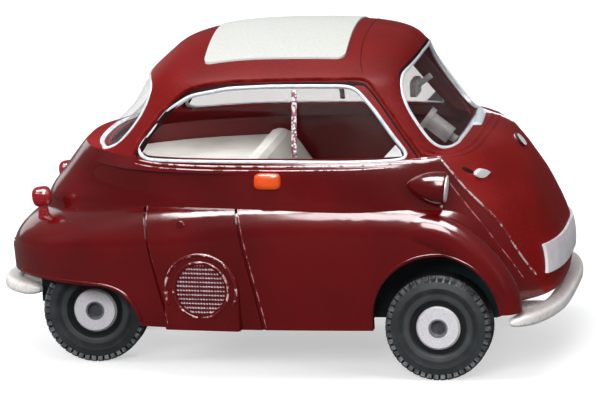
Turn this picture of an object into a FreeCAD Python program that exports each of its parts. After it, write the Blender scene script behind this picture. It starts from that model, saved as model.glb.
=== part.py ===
import FreeCAD, Part
import math
import os
import Sketcher
from FreeCAD import Placement, Rotation, Vector

# Bubble car, a plastic scale model to 1:87.
# Frame in mm: X points to the front, Y to the car's left, Z up.
# The origin is on the ground under the middle of the model.

SIZES = {
    # overall lines of the body
    "nose_reach": 12.8,
    "tail_reach": 13.32,
    "body_half_width": 7.9,
    "cabin_half_width": 7.2,
    "sill_height": 2.4,
    "shoulder_height": 8.02,
    "door_bottom_height": 3.3,
    "deck_height": 10.4,
    "belt_drop": 0.28,
    "cabin_sink": 0.8,
    "roof_height": 15.42,
    "widest_place": 3.0,
    "cabin_widest_place": 1.0,
    "wall": 0.55,
    "lining_gap": 0.12,
    "overrun": 1.5,
    # wheel openings
    "front_axle_place": 7.6,
    "rear_axle_place": 9.0,
    "front_arch_radius": 2.93,
    "front_arch_height": 2.95,
    "front_arch_depth": 2.6,
    "fender_foot_height": 3.2,
    "tail_edge_height": 4.15,
    "rear_arch_place": 6.3,
    "rear_arch_round": 2.3,
    # front fender ridge
    "fender_ridge_radius": 0.9,
    # grooves and seams
    "groove_width": 0.13,
    "groove_depth": 0.12,
    "seam_top_place": 7.75,
    "seam_foot_place": 12.15,
    # vent boss in the side
    "vent_place": 3.22,
    "vent_height": 4.3,
    "vent_boss_radius": 1.78,
    "vent_boss_inset": 0.24,
    "vent_boss_round": 0.15,
    "vent_turn": 6.5,
    "vent_grille_radius": 1.17,
    "vent_recess_depth": 0.2,
    "vent_grille_thickness": 0.1,
    "vent_slat_depth": 0.09,
    "vent_slat_width": 0.1,
    "vent_slat_pitch": 0.2,
    # roof panel
    "roof_panel_front": 3.3,
    "roof_panel_rear": 3.35,
    "roof_panel_half_width": 4.45,
    "roof_panel_thickness": 0.3,
    "roof_panel_rise": 0.05,
    "roof_panel_corner": 0.45,
    "roof_panel_gap": 0.04,
    # glazing, its heights taken from the roof and from the belt
    "glass_set_back": 0.08,
    "glass_thickness": 0.34,
    "screen_top_drop": 1.8,
    "screen_bottom_rise": 0.33,
    "screen_top_place": 5.9,
    "screen_bottom_place": 8.15,
    "screen_half_width": 5.55,
    "side_window_drop": 2.04,
    "side_window_rise": 0.06,
    "side_window_front": 6.42,
    "side_window_rear": 6.3,
    "rear_window_drop": 2.12,
    "rear_window_rise": 0.38,
    "rear_window_half_width": 4.7,
    # interior
    "seat_half_width": 5.7,
    "seat_back_height": 9.3,
    "seat_wall": 0.6,
    "shelf_height": 8.75,
    "shelf_thickness": 0.55,
    "shelf_front": 1.7,
    "foot_space_half_width": 3.5,
    # steering column and mirror
    "column_side": 2.8,
    "column_radius": 0.42,
    "column_length": 1.2,
    "column_tilt": 38.0,
    "column_cap_radius": 0.58,
    "column_cap_thickness": 0.26,
    "column_rod_radius": 0.2,
    "mirror_width": 1.7,
    "mirror_height": 0.75,
    "mirror_thickness": 0.28,
    "mirror_side": 1.3,
    "mirror_drop": 2.75,
    # chassis
    "chassis_bottom": 2.45,
    "chassis_thickness": 0.65,
    "chassis_rear": 5.7,
    "spine_half_width": 5.1,
    "spine_front": 10.5,
    "wheel_house_height": 5.95,
    "wheel_house_gap": 0.3,
    "tail_spine_half_width": 1.95,
    "tail_spine_rear": 11.9,
    "axle_block_length": 1.9,
    "axle_block_wall": 0.4,
    "axle_gap": 0.05,
    # wheels
    "axle_radius": 0.3,
    "tyre_radius": 2.44,
    "tyre_width": 1.5,
    "tyre_bore": 1.12,
    "tyre_shoulder": 0.27,
    "tyre_bead_radius": 1.32,
    "tyre_bead_depth": 0.2,
    "hub_disc_radius": 1.0,
    "hub_disc_rise": 0.12,
    "hub_eye_radius": 0.36,
    "hub_eye_depth": 0.12,
    "front_wheel_inset": 0.56,
    "rear_wheel_face": 3.95,
    # bumpers
    "front_bumper_overhang": 0.3,
    "rear_bumper_overhang": 0.6,
    "bumper_thickness": 0.62,
    "bumper_depth": 0.6,
    "bumper_round": 0.18,
    "front_bumper_half_width": 7.9,
    "rear_bumper_half_width": 3.35,
    "front_bumper_sweep": 1.8,
    "rear_bumper_sweep": 2.0,
    "rear_bumper_bottom": 2.95,
    "stay_width": 1.3,
    "stay_thickness": 0.36,
    "front_stay_place": 4.3,
    "rear_stay_place": 0.95,
    # lamps
    "headlamp_radius": 0.9,
    "headlamp_length": 1.85,
    "headlamp_tilt": 9.0,
    "headlamp_rim": 0.09,
    "lens_thickness": 0.16,
    "tail_lamp_radius": 0.46,
    "tail_lamp_length": 0.9,
    "tail_lamp_edge": 0.14,
    "tail_lamp_rise": 0.5,
    "tail_stalk_radius": 0.22,
    "indicator_length": 1.2,
    "indicator_height": 0.72,
    "indicator_rise": 0.2,
    "indicator_edge": 0.16,
    # small outer fittings
    "plate_half_width": 4.25,
    "plate_bottom": 4.35,
    "plate_depth": 1.35,
    "plate_rise": 0.12,
    "handle_length": 0.86,
    "handle_depth": 0.4,
    "handle_rise": 0.2,
    "handle_turn": 49.0,
    "badge_radius": 0.37,
    "badge_rise": 0.1,
    "badge_tilt": 37.0,
    "lock_cap_radius": 0.17,
    "lock_cap_rise": 0.1,
    "tail_boss_radius": 0.3,
    "tail_boss_rise": 0.22,
}

doc = FreeCAD.newDocument("BubbleCar")
sheet = doc.addObject("Spreadsheet::Sheet", "Sizes")
for row, (alias, value) in enumerate(SIZES.items(), start=1):
    sheet.set("A%d" % row, alias)
    sheet.set("B%d" % row, str(value))
    sheet.setAlias("B%d" % row, alias)
doc.recompute()


def size(alias):
    return float(sheet.get(alias))


# The shapes are drawn from the car's own datum, a little behind the frame's origin.
DATUM_SHIFT = ("(Sizes.tail_reach + Sizes.rear_bumper_overhang"
               " - Sizes.nose_reach - Sizes.front_bumper_overhang) / 2")
front_reach = size("nose_reach") + size("front_bumper_overhang")
rear_reach = size("tail_reach") + size("rear_bumper_overhang")
PARTS = []


def keep(obj, label):
    obj.Label = label
    PARTS.append(obj)
    return obj


def feature(label, shape):
    obj = doc.addObject("Part::Feature", label)
    obj.Shape = shape
    obj.setExpression("Placement.Base.x", DATUM_SHIFT)
    return keep(obj, label)


# Section tables of the three hulls that make the body.
# Each row: height share, nose share, tail share, width share,
# power of the rounded corner in front, power at the rear.
TUB_SHARES = [
    (0.000, 0.891, 0.980, 0.962, 3.8, 2.45),
    (0.178, 0.906, 0.995, 0.977, 3.8, 2.45),
    (0.356, 0.914, 1.000, 0.990, 3.8, 2.50),
    (0.498, 0.906, 0.998, 0.997, 3.8, 2.60),
    (0.623, 0.886, 0.976, 1.000, 3.8, 2.70),
    (0.730, 0.862, 0.927, 1.000, 3.8, 2.75),
    (0.811, 0.843, 0.856, 0.996, 3.8, 2.75),
    (0.888, 0.819, 0.747, 0.985, 3.8, 2.90),
    (0.956, 0.789, 0.638, 0.965, 3.8, 3.00),
    (1.000, 0.750, 0.526, 0.930, 3.8, 3.00),
]
DECK_SHARES = [
    (0.000, 0.986, 0.856, 0.930, 3.00, 2.00),
    (0.155, 1.000, 0.878, 0.949, 3.05, 2.00),
    (0.282, 0.997, 0.890, 0.949, 3.05, 2.00),
    (0.408, 0.978, 0.893, 0.949, 3.00, 2.00),
    (0.549, 0.944, 0.882, 0.952, 2.90, 2.00),
    (0.648, 0.918, 0.856, 0.956, 2.75, 2.05),
    (0.746, 0.887, 0.815, 0.949, 2.55, 2.10),
    (0.831, 0.858, 0.781, 0.939, 2.45, 2.25),
    (0.901, 0.828, 0.751, 0.928, 2.40, 2.40),
    (0.951, 0.801, 0.728, 0.911, 2.40, 2.50),
    (0.979, 0.770, 0.709, 0.886, 2.40, 2.60),
    (1.000, 0.719, 0.695, 0.823, 2.40, 2.60),
]
CABIN_SHARES = [
    (0.000, 0.699, 0.706, 1.000, 4.0, 2.8),
    (0.120, 0.664, 0.664, 0.979, 4.0, 2.8),
    (0.240, 0.627, 0.611, 0.951, 4.1, 2.9),
    (0.412, 0.572, 0.540, 0.903, 4.3, 3.1),
    (0.584, 0.517, 0.495, 0.847, 4.6, 3.2),
    (0.687, 0.488, 0.458, 0.803, 4.6, 3.1),
    (0.756, 0.478, 0.424, 0.722, 4.0, 3.0),
    (0.825, 0.467, 0.387, 0.618, 3.4, 2.8),
    (0.893, 0.438, 0.322, 0.479, 3.0, 2.6),
    (0.945, 0.379, 0.240, 0.340, 2.8, 2.4),
    (0.979, 0.289, 0.151, 0.194, 2.5, 2.2),
]
APEX_SHARE = 0.09
COLUMNS = 24


def ring_points(front, rear, half, power_front, power_rear, middle, height):
    """Points of one level section, a rounded rectangle of two powers."""
    points = []
    for k in range(COLUMNS):
        angle = 2 * math.pi * k / COLUMNS
        c, s = math.cos(angle), math.sin(angle)
        power = power_front if c >= 0 else power_rear
        reach = front - middle if c >= 0 else rear + middle
        scale = (abs(c) ** power + abs(s) ** power) ** (-1 / power)
        points.append(Vector(middle + reach * scale * c, half * scale * s, height))
    return points


def skin(rows, apex=None):
    """Solid through level rings of points, flat below, flat or round above."""
    steps = [k / COLUMNS for k in range(COLUMNS + 1)]
    rings = []
    for points in rows:
        ring = Part.BSplineCurve()
        ring.interpolate(Points=points, Parameters=steps, PeriodicFlag=True)
        rings.append([ring.getPole(k + 1) for k in range(ring.NbPoles)])
    mults, knots, degree = ring.getMultiplicities(), ring.getKnots(), ring.Degree
    if apex is not None:
        rings.append([apex] * len(rings[0]))
    stations = [0.0]
    for low, high in zip(rings, rings[1:]):
        step = sum((p - q).Length for p, q in zip(low, high)) / len(low)
        stations.append(stations[-1] + step)
    stations = [place / stations[-1] for place in stations]
    columns = []
    for k in range(len(rings[0])):
        column = Part.BSplineCurve()
        column.interpolate(Points=[ring[k] for ring in rings], Parameters=stations)
        columns.append(column)
    first = columns[0]
    poles = [[column.getPole(k + 1) for column in columns] for k in range(first.NbPoles)]
    surface = Part.BSplineSurface()
    surface.buildFromPolesMultsKnots(
        poles, first.getMultiplicities(), mults, first.getKnots(), knots,
        False, True, first.Degree, degree)
    side = surface.toShape()
    level = [e for e in side.Edges if not e.Degenerated and e.BoundBox.ZLength < size("groove_depth")]
    level.sort(key=lambda e: e.BoundBox.ZMin)
    caps = [Part.Face(Part.Wire([level[0]]))]
    if apex is None:
        caps.append(Part.Face(Part.Wire([level[-1]])))
    shell = Part.Shell([side] + caps)
    shell.sewShape()
    solid = Part.Solid(shell)
    if solid.Volume < 0:
        solid.reverse()
    return solid


def hull(shares, base, top, half, middle, grow, open_below=0.0, apex=None):
    """One hull, moved outward by grow (inward when negative)."""
    rows = []
    for index, (up, nose, tail, wide, front_power, rear_power) in enumerate(shares):
        height = base + (top + grow - base) * up
        if index == 0:
            height -= open_below
        rows.append(ring_points(
            size("nose_reach") * nose + grow, size("tail_reach") * tail + grow,
            half * wide + grow, front_power, rear_power, middle, height))
    tip = None
    if apex is not None:
        tip = Vector(size("nose_reach") * apex, 0, top + grow)
    return skin(rows, tip)


def tub(grow=0.0, open_below=0.0):
    return hull(TUB_SHARES, size("sill_height"), size("shoulder_height"),
                size("body_half_width"), size("widest_place"), grow, open_below)


def deck(grow=0.0, open_below=0.0):
    return hull(DECK_SHARES, size("door_bottom_height"), size("deck_height"),
                size("body_half_width"), size("widest_place"), grow, open_below)


def cabin(grow=0.0):
    return hull(CABIN_SHARES, size("deck_height") - size("cabin_sink"), size("roof_height"),
                size("cabin_half_width"), size("cabin_widest_place"), grow, 0.0, APEX_SHARE)


def closed(points):
    return Part.Face(Part.makePolygon(points + [points[0]]))


def box(x0, x1, y0, y1, z0, z1):
    return Part.makeBox(x1 - x0, y1 - y0, z1 - z0, Vector(x0, y0, z0))


def mirrored(shape):
    return shape.mirror(Vector(0, 0, 0), Vector(0, 1, 0))


def both_sides(name, shape):
    feature(name + "_right", shape)
    feature(name + "_left", mirrored(shape))


overrun = size("overrun")
wall = size("wall")
wide = size("body_half_width") + overrun
long_front = size("nose_reach") + overrun
long_rear = size("tail_reach") + overrun
belt = size("deck_height") - size("belt_drop")

# Front fender ridges: a round bead that runs over each front wheel opening.
RIDGE_SHARES = [
    (0.35, 0.824, 0.763), (0.47, 0.864, 0.843), (0.575, 0.886, 0.860), (0.680, 0.886, 0.779),
    (0.742, 0.886, 0.686), (0.797, 0.886, 0.561), (0.820, 0.886, 0.472), (0.822, 0.886, 0.331),
]
ridge_points = [Vector(size("nose_reach") * along, -size("body_half_width") * out,
                       size("shoulder_height") * up) for along, out, up in RIDGE_SHARES]
ridge_path = Part.BSplineCurve()
ridge_path.interpolate(Points=ridge_points)
ridge_start = ridge_path.tangent(ridge_path.FirstParameter)[0]
ridge_ring = Part.Wire([Part.makeCircle(size("fender_ridge_radius"), ridge_points[0], ridge_start)])
ridge = Part.Wire([ridge_path.toShape()]).makePipeShell([ridge_ring], True, False)

outer_tub = tub()
outer = outer_tub.fuse([deck(), ridge, mirrored(ridge)])
painted = outer.fuse([cabin()])
inner = tub(-wall, wall + overrun).fuse([deck(-wall, wall + overrun), cabin(-wall)])
lined = wall + size("lining_gap")


def on_body(place_shares, direction):
    """Point where a line from inside the body leaves it, along direction."""
    along, across, up = place_shares
    reach = size("nose_reach") if along > 0 else size("tail_reach")
    start = Vector(reach * along, size("body_half_width") * across, size("deck_height") * up)
    line = Part.makeLine(start, start + direction * long_rear)
    ends = [v.Point for v in line.common(outer).Vertexes]
    return max(ends, key=lambda p: (p - start).dot(direction))


# Vent boss: a shallow round boss with a flat foot that runs down to the sill.
boss_radius = size("vent_boss_radius")
boss_top = size("vent_height")
foot = size("sill_height")
boss_left_edge = Vector(-boss_radius, 0, boss_top)
boss_right_edge = Vector(boss_radius, 0, boss_top)
boss_wire = Part.Wire([
    Part.Arc(boss_left_edge, Vector(0, 0, boss_top + boss_radius), boss_right_edge).toShape(),
    Part.makePolygon([boss_right_edge, Vector(boss_radius, 0, foot),
                      Vector(-boss_radius, 0, foot), boss_left_edge]),
])
boss = Part.Face(boss_wire).extrude(Vector(0, 3 * wall, 0))
rim_edges = [e for e in boss.Edges if e.BoundBox.YMax < size("groove_depth")
             and e.BoundBox.ZMax > foot + size("groove_depth")]
boss = boss.makeFillet(size("vent_boss_round"), rim_edges)
vent_placement = Placement(
    Vector(-size("vent_place"), size("vent_boss_inset") - size("body_half_width"), 0),
    Rotation(Vector(0, 0, 1), -size("vent_turn")))
boss.Placement = vent_placement
recess = Part.makeCylinder(size("vent_grille_radius"), size("vent_recess_depth") + overrun,
                           Vector(0, -overrun, boss_top), Vector(0, 1, 0))
recess.Placement = vent_placement

# Side panel grooves, cut to an even depth under the painted surface.
tub_skin = outer_tub.cut(tub(-size("groove_depth"), wall))
GROOVE_SHARES = [
    [(-0.453, 1.0), (-0.436, 0.830), (-0.408, 0.598), (-0.368, 0.30)],
    [(-0.119, 1.0), (-0.096, 0.800), (-0.061, 0.540), (-0.032, 0.29)],
]
grooves = []
for line in GROOVE_SHARES:
    near = [Vector(size("tail_reach") * a, -wide, size("shoulder_height") * b) for a, b in line]
    far = [p + Vector(size("groove_width"), 0, 0) for p in reversed(near)]
    grooves.append(closed(near + far).extrude(Vector(0, 2 * wide, 0)).common(tub_skin))

# Openings below the body for the wheels.
arch_start = Vector(size("front_axle_place"), -wide, size("front_arch_height"))
arch = Part.makeCylinder(size("front_arch_radius"), size("front_arch_depth") + overrun,
                         arch_start, Vector(0, 1, 0))
arch = arch.fuse(box(size("front_axle_place") - size("front_arch_radius"),
                     size("front_axle_place") + size("front_arch_radius"),
                     -wide, -wide + size("front_arch_depth") + overrun, -overrun, size("front_arch_height")))
front_floor = box(size("front_axle_place"), long_front, -wide, wide, -overrun, size("fender_foot_height"))
TAIL_EDGE_SHARES = [
    (1.0, 1.0), (0.61, 0.97), (0.33, 0.80), (0.13, 0.49), (0.0, 0.11), (-0.07, -0.28),
]
tail_edge_rise = size("tail_edge_height") - size("sill_height")
tail_edge_points = [
    Vector(-size("rear_arch_place") - size("rear_arch_round") * back, -wide,
           size("sill_height") + tail_edge_rise * up) for back, up in TAIL_EDGE_SHARES]
tail_edge = Part.BSplineCurve()
tail_edge.interpolate(Points=tail_edge_points)
tail_floor = Part.Face(Part.Wire([
    tail_edge.toShape(),
    Part.makePolygon([
        tail_edge_points[-1],
        Vector(tail_edge_points[-1].x, -wide, -overrun),
        Vector(-long_rear, -wide, -overrun),
        Vector(-long_rear, -wide, size("tail_edge_height")),
        tail_edge_points[0]]),
])).extrude(Vector(0, 2 * wide, 0))

# Side of the body that belongs to the door and the roof moulding.
SEAM_SHARES = [
    (0.00, 1.000), (0.14, 0.893), (0.273, 0.780), (0.505, 0.610),
    (0.648, 0.485), (0.775, 0.330), (0.875, 0.190), (0.945, 0.090), (1.0, -0.20),
]
seam_run = size("seam_foot_place") - size("seam_top_place")
seam_drop = belt - size("door_bottom_height")
seam_points = [Vector(size("seam_top_place") + seam_run * along, -wide,
                      size("door_bottom_height") + seam_drop * up) for along, up in SEAM_SHARES]
seam_curve = Part.BSplineCurve()
seam_curve.interpolate(Points=seam_points)
upper_region = Part.Face(Part.Wire([
    seam_curve.toShape(),
    Part.makePolygon([
        seam_points[-1],
        Vector(long_front, -wide, seam_points[-1].z),
        Vector(long_front, -wide, size("roof_height") + overrun),
        Vector(-long_rear, -wide, size("roof_height") + overrun),
        Vector(-long_rear, -wide, belt),
        seam_points[0]]),
])).extrude(Vector(0, 2 * wide, 0))

# Window openings. The outlines are shares of each window's own reach.
SCREEN_SHARES = [
    (0.0, 1.0), (0.76, 1.0), (0.85, 0.95), (0.925, 0.83), (0.965, 0.69), (0.985, 0.555),
    (1.0, 0.37), (1.0, 0.20), (0.97, 0.085), (0.87, 0.0), (0.72, -0.03), (0.0, -0.03),
]
SIDE_WINDOW_SHARES = [
    (1.000, 0.030), (0.955, 0.000), (0.5, -0.005), (0.0, 0.000), (-0.5, -0.005), (-0.93, -0.02),
    (-0.995, 0.03), (-0.990, 0.10), (-0.930, 0.235), (-0.87, 0.38), (-0.775, 0.63),
    (-0.590, 0.86), (-0.30, 0.975), (0.0, 1.005), (0.35, 1.005), (0.575, 1.0), (0.625, 0.955),
    (0.76, 0.65), (0.90, 0.27),
]
REAR_WINDOW_SHARES = [
    (0.0, 1.0), (0.62, 1.0), (0.84, 0.93), (0.93, 0.78), (0.97, 0.50), (1.0, 0.20),
    (0.99, 0.02), (0.92, -0.09), (0.70, -0.13), (0.0, -0.13),
]


def symmetric(shares):
    return shares + [(-across, up) for across, up in reversed(shares) if across != 0.0]


screen_low = Vector(size("screen_bottom_place"), 0, belt + size("screen_bottom_rise"))
screen_high = Vector(size("screen_top_place"), 0, size("roof_height") - size("screen_top_drop"))
screen_rise = screen_high - screen_low
screen_out = Vector(screen_rise.z, 0, -screen_rise.x).normalize()
screen_points = [screen_low + screen_rise * up + Vector(0, size("screen_half_width") * across, 0)
                 - screen_out * overrun for across, up in symmetric(SCREEN_SHARES)]
screen_prism = closed(screen_points).extrude(screen_out * (2 * overrun + wall))

window_base = belt + size("side_window_rise")
window_rise = size("roof_height") - size("side_window_drop") - window_base
window_points = []
for along, up in SIDE_WINDOW_SHARES:
    reach = size("side_window_front") if along > 0 else size("side_window_rear")
    window_points.append(Vector(reach * along, -wide, window_base + window_rise * up))
window_prism = closed(window_points).extrude(Vector(0, wide - size("cabin_half_width") / 2, 0))

rear_base = belt + size("rear_window_rise")
rear_rise = size("roof_height") - size("rear_window_drop") - rear_base
rear_points = [Vector(-long_rear, size("rear_window_half_width") * across, rear_base + rear_rise * up)
               for across, up in symmetric(REAR_WINDOW_SHARES)]
rear_prism = closed(rear_points).extrude(Vector(long_rear - size("roof_panel_rear"), 0, 0))


def panel_prism(gap):
    """Upright block over the roof panel, with rounded corners."""
    block = box(-size("roof_panel_rear") + gap, size("roof_panel_front") - gap,
                -size("roof_panel_half_width") + gap, size("roof_panel_half_width") - gap,
                size("roof_height") - size("side_window_drop"), size("roof_height") + overrun)
    corners = [e for e in block.Edges if e.BoundBox.ZLength > overrun]
    return block.makeFillet(size("roof_panel_corner"), corners)


# Roof panel and its recess.
under_panel = cabin(size("roof_panel_rise") - size("roof_panel_thickness"))
panel_recess = panel_prism(0.0).cut(under_panel)
roof_panel = cabin(size("roof_panel_rise")).common(panel_prism(size("roof_panel_gap"))).cut(under_panel)

# The two mouldings of the body.
whole = painted.cut(inner)
lower_body = whole.cut(upper_region)
lower_body = lower_body.fuse([boss.cut(inner), mirrored(boss).cut(inner)])
lower_body = lower_body.cut([arch, mirrored(arch), front_floor, tail_floor, recess, mirrored(recess)] + grooves)
cabin_shell = whole.common(upper_region)
cabin_shell = cabin_shell.cut([screen_prism, window_prism, mirrored(window_prism), rear_prism, panel_recess])
feature("lower_body", lower_body)
feature("cabin_shell", cabin_shell)
feature("roof_panel", roof_panel)

# Clear glazing, set a little inside the painted surface.
glass_inside = size("glass_set_back") + size("glass_thickness")
under_glass = cabin(-glass_inside)
glass_band = cabin(-size("glass_set_back")).cut(under_glass)
feature("windscreen", glass_band.common(screen_prism))
both_sides("side_window", glass_band.common(window_prism))
feature("rear_window", glass_band.common(rear_prism))

# Interior moulding: floor, bench seat and rear shelf in one folded piece.
# The seat outline runs forward along the floor, then up the seat and back down.
floor = size("chassis_bottom") + size("chassis_thickness")
SEAT_SHARES = [
    (-0.148, 0.0), (0.719, 0.0), (0.719, 0.065), (0.336, 0.065), (0.320, 0.363), (0.297, 0.427),
    (0.070, 0.387), (0.035, 0.484), (-0.008, 0.729), (-0.086, 0.968), (-0.105, 0.997),
    (-0.125, 1.0), (-0.150, 0.980), (-0.162, 0.930), (-0.190, 0.823),
]
SEAT_WIDTH_SHARES = [(1.0, 0.0), (1.0, 0.87), (0.965, 0.94), (0.88, 1.0), (0.0, 1.0)]
seat_rise = size("seat_back_height") - floor
seat_points = [Vector(size("nose_reach") * along, -wide, floor + seat_rise * up) for along, up in SEAT_SHARES]
seat = closed(seat_points).extrude(Vector(0, 2 * wide, 0))
seat_front = [Vector(-long_rear, size("seat_half_width") * across, floor + seat_rise * up)
              for across, up in symmetric(SEAT_WIDTH_SHARES)]
seat = seat.common(closed(seat_front).extrude(Vector(2 * long_rear, 0, 0)))
house_rear = size("front_axle_place") - size("front_arch_radius") - size("wheel_house_gap")
seat_front_place = size("nose_reach") * max(along for along, up in SEAT_SHARES if up > SEAT_SHARES[3][1])
hollow = box(seat_points[0].x + size("seat_wall"), seat_front_place - size("seat_wall"),
             -size("seat_half_width") + size("seat_wall"), size("seat_half_width") - size("seat_wall"),
             floor - overrun, floor + seat_rise * SEAT_SHARES[6][1] - size("seat_wall"))
seat = seat.cut(hollow)
shelf = box(-long_rear, -size("shelf_front"), -wide, wide,
            size("shelf_height") - size("shelf_thickness"), size("shelf_height"))
lining = tub(-lined).fuse([deck(-lined), cabin(-lined - size("glass_thickness"))])
house_room = box(house_rear - size("lining_gap"), long_front, -wide, -size("foot_space_half_width"),
                 -overrun, size("wheel_house_height"))
interior = seat.fuse([shelf]).common(lining).cut([house_room, mirrored(house_room)])
feature("interior", interior)

# Steering column, and the rear-view mirror on the windscreen.
tilt = math.radians(size("column_tilt"))
column_axis = Vector(-math.cos(tilt), 0, math.sin(tilt))
COLUMN_SHARES = (0.545, 0.900)
column_foot = Vector(size("nose_reach") * COLUMN_SHARES[0], size("column_side"),
                     size("deck_height") * COLUMN_SHARES[1])
column = Part.makeCylinder(size("column_radius"), size("column_length"), column_foot, column_axis)
cap = Part.makeCylinder(size("column_cap_radius"), size("column_cap_thickness"),
                        column_foot + column_axis * size("column_length"), column_axis)
rod = Part.makeCylinder(size("column_rod_radius"), belt, column_foot, column_axis * -1)
column_room = deck(-wall).fuse([under_glass])
feature("steering_column", column.fuse([cap, rod]).common(column_room))

mirror_up = (size("roof_height") - size("mirror_drop") - screen_low.z) / screen_rise.z
mirror_centre = (screen_low + screen_rise * mirror_up + Vector(0, size("mirror_side"), 0)
                 - screen_out * (glass_inside + size("mirror_height")))
mirror = box(-size("mirror_thickness") / 2, size("mirror_thickness") / 2, -size("mirror_width") / 2,
             size("mirror_width") / 2, -size("mirror_height") / 2, size("mirror_height") / 2)
upright = [e for e in mirror.Edges if e.BoundBox.XLength > size("mirror_thickness") / 2]
mirror = mirror.makeFillet(size("mirror_height") / 4, upright)
mirror.translate(mirror_centre)
mirror_arm = Part.makeCylinder(size("mirror_thickness") / 2, 2 * overrun, mirror_centre, screen_out)
feature("mirror", mirror.fuse(mirror_arm).common(under_glass))

# Chassis plate with axle blocks and wheel houses, made of primitives bound to the sheet.


def bound_box(name, length, width, height, x, y, z):
    obj = doc.addObject("Part::Box", name)
    obj.setExpression("Length", length)
    obj.setExpression("Width", width)
    obj.setExpression("Height", height)
    obj.setExpression("Placement.Base.x", x)
    obj.setExpression("Placement.Base.y", y)
    obj.setExpression("Placement.Base.z", z)
    return obj


def bound_cylinder(name, radius, height, x, y, z):
    """Cylinder along Y."""
    obj = doc.addObject("Part::Cylinder", name)
    obj.setExpression("Radius", radius)
    obj.setExpression("Height", height)
    obj.Placement = Placement(Vector(0, 0, 0), Rotation(Vector(1, 0, 0), -90))
    obj.setExpression("Placement.Base.x", x)
    obj.setExpression("Placement.Base.y", y)
    obj.setExpression("Placement.Base.z", z)
    return obj


chassis_boxes = [bound_box(
    "FloorPlate", "Sizes.chassis_rear + Sizes.front_axle_place - Sizes.front_arch_radius - Sizes.wheel_house_gap",
    "2 * Sizes.body_half_width", "Sizes.chassis_thickness",
    "-Sizes.chassis_rear", "-Sizes.body_half_width", "Sizes.chassis_bottom")]
chassis_boxes.append(bound_box(
    "FrontSpine", "Sizes.spine_front", "2 * Sizes.spine_half_width", "Sizes.chassis_thickness",
    "0", "-Sizes.spine_half_width", "Sizes.chassis_bottom"))
for hand, place in (("Right", "-Sizes.spine_half_width"),
                    ("Left", "Sizes.foot_space_half_width + Sizes.lining_gap")):
    chassis_boxes.append(bound_box(
        "WheelHouse" + hand,
        "Sizes.spine_front - Sizes.front_axle_place + Sizes.front_arch_radius + Sizes.wheel_house_gap",
        "Sizes.spine_half_width - Sizes.foot_space_half_width - Sizes.lining_gap",
        "Sizes.wheel_house_height - Sizes.chassis_bottom - Sizes.lining_gap",
        "Sizes.front_axle_place - Sizes.front_arch_radius - Sizes.wheel_house_gap",
        place, "Sizes.chassis_bottom"))
chassis_boxes.append(bound_box(
    "RearSpine", "Sizes.tail_spine_rear - Sizes.chassis_rear", "2 * Sizes.tail_spine_half_width",
    "Sizes.rear_bumper_bottom + Sizes.bumper_depth - Sizes.chassis_bottom",
    "-Sizes.tail_spine_rear", "-Sizes.tail_spine_half_width", "Sizes.chassis_bottom"))
for end, half, place in (("Front", "Sizes.spine_half_width", "Sizes.front_axle_place"),
                         ("Rear", "Sizes.tail_spine_half_width", "-Sizes.rear_axle_place")):
    chassis_boxes.append(bound_box(
        end + "Block", "Sizes.axle_block_length", "2 * %s" % half,
        "Sizes.chassis_bottom + Sizes.chassis_thickness - Sizes.tyre_radius"
        " + Sizes.axle_radius + Sizes.axle_gap + Sizes.axle_block_wall",
        "%s - Sizes.axle_block_length / 2" % place, "-%s" % half,
        "Sizes.tyre_radius - Sizes.axle_radius - Sizes.axle_gap - Sizes.axle_block_wall"))
chassis_body = doc.addObject("Part::MultiFuse", "ChassisBody")
chassis_body.Shapes = chassis_boxes
chassis_room = doc.addObject("Part::Feature", "ChassisRoom")
chassis_room.Shape = tub(-lined, wall + overrun)
chassis_fit = doc.addObject("Part::Common", "ChassisFit")
chassis_fit.Base = chassis_body
chassis_fit.Tool = chassis_room
bores = doc.addObject("Part::MultiFuse", "Bores")
bores.Shapes = [bound_cylinder(
    name, "Sizes.axle_radius + Sizes.axle_gap", "2 * Sizes.body_half_width",
    place, "-Sizes.body_half_width", "Sizes.tyre_radius")
    for name, place in (("FrontBore", "Sizes.front_axle_place"), ("RearBore", "-Sizes.rear_axle_place"))]
chassis = doc.addObject("Part::Cut", "Chassis")
chassis.Base = chassis_fit
chassis.Tool = bores
chassis.setExpression("Placement.Base.x", DATUM_SHIFT)
keep(chassis, "chassis")

# Axles, as long as the hubs are deep.
WHEEL_FACES = {"front": "Sizes.body_half_width - Sizes.front_wheel_inset", "rear": "Sizes.rear_wheel_face"}
WHEEL_PLACES = {"front": DATUM_SHIFT + " + Sizes.front_axle_place",
                "rear": DATUM_SHIFT + " - Sizes.rear_axle_place"}
for end in ("front", "rear"):
    half = "(%s - Sizes.tyre_bead_depth - Sizes.hub_eye_depth)" % WHEEL_FACES[end]
    keep(bound_cylinder(end.capitalize() + "Axle", "Sizes.axle_radius", "2 * " + half,
                        WHEEL_PLACES[end], "-" + half, "Sizes.tyre_radius"), end + "_axle")


def evaluate(text):
    return float(sheet.evalExpression(text.replace("Sizes.", "")))


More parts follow.
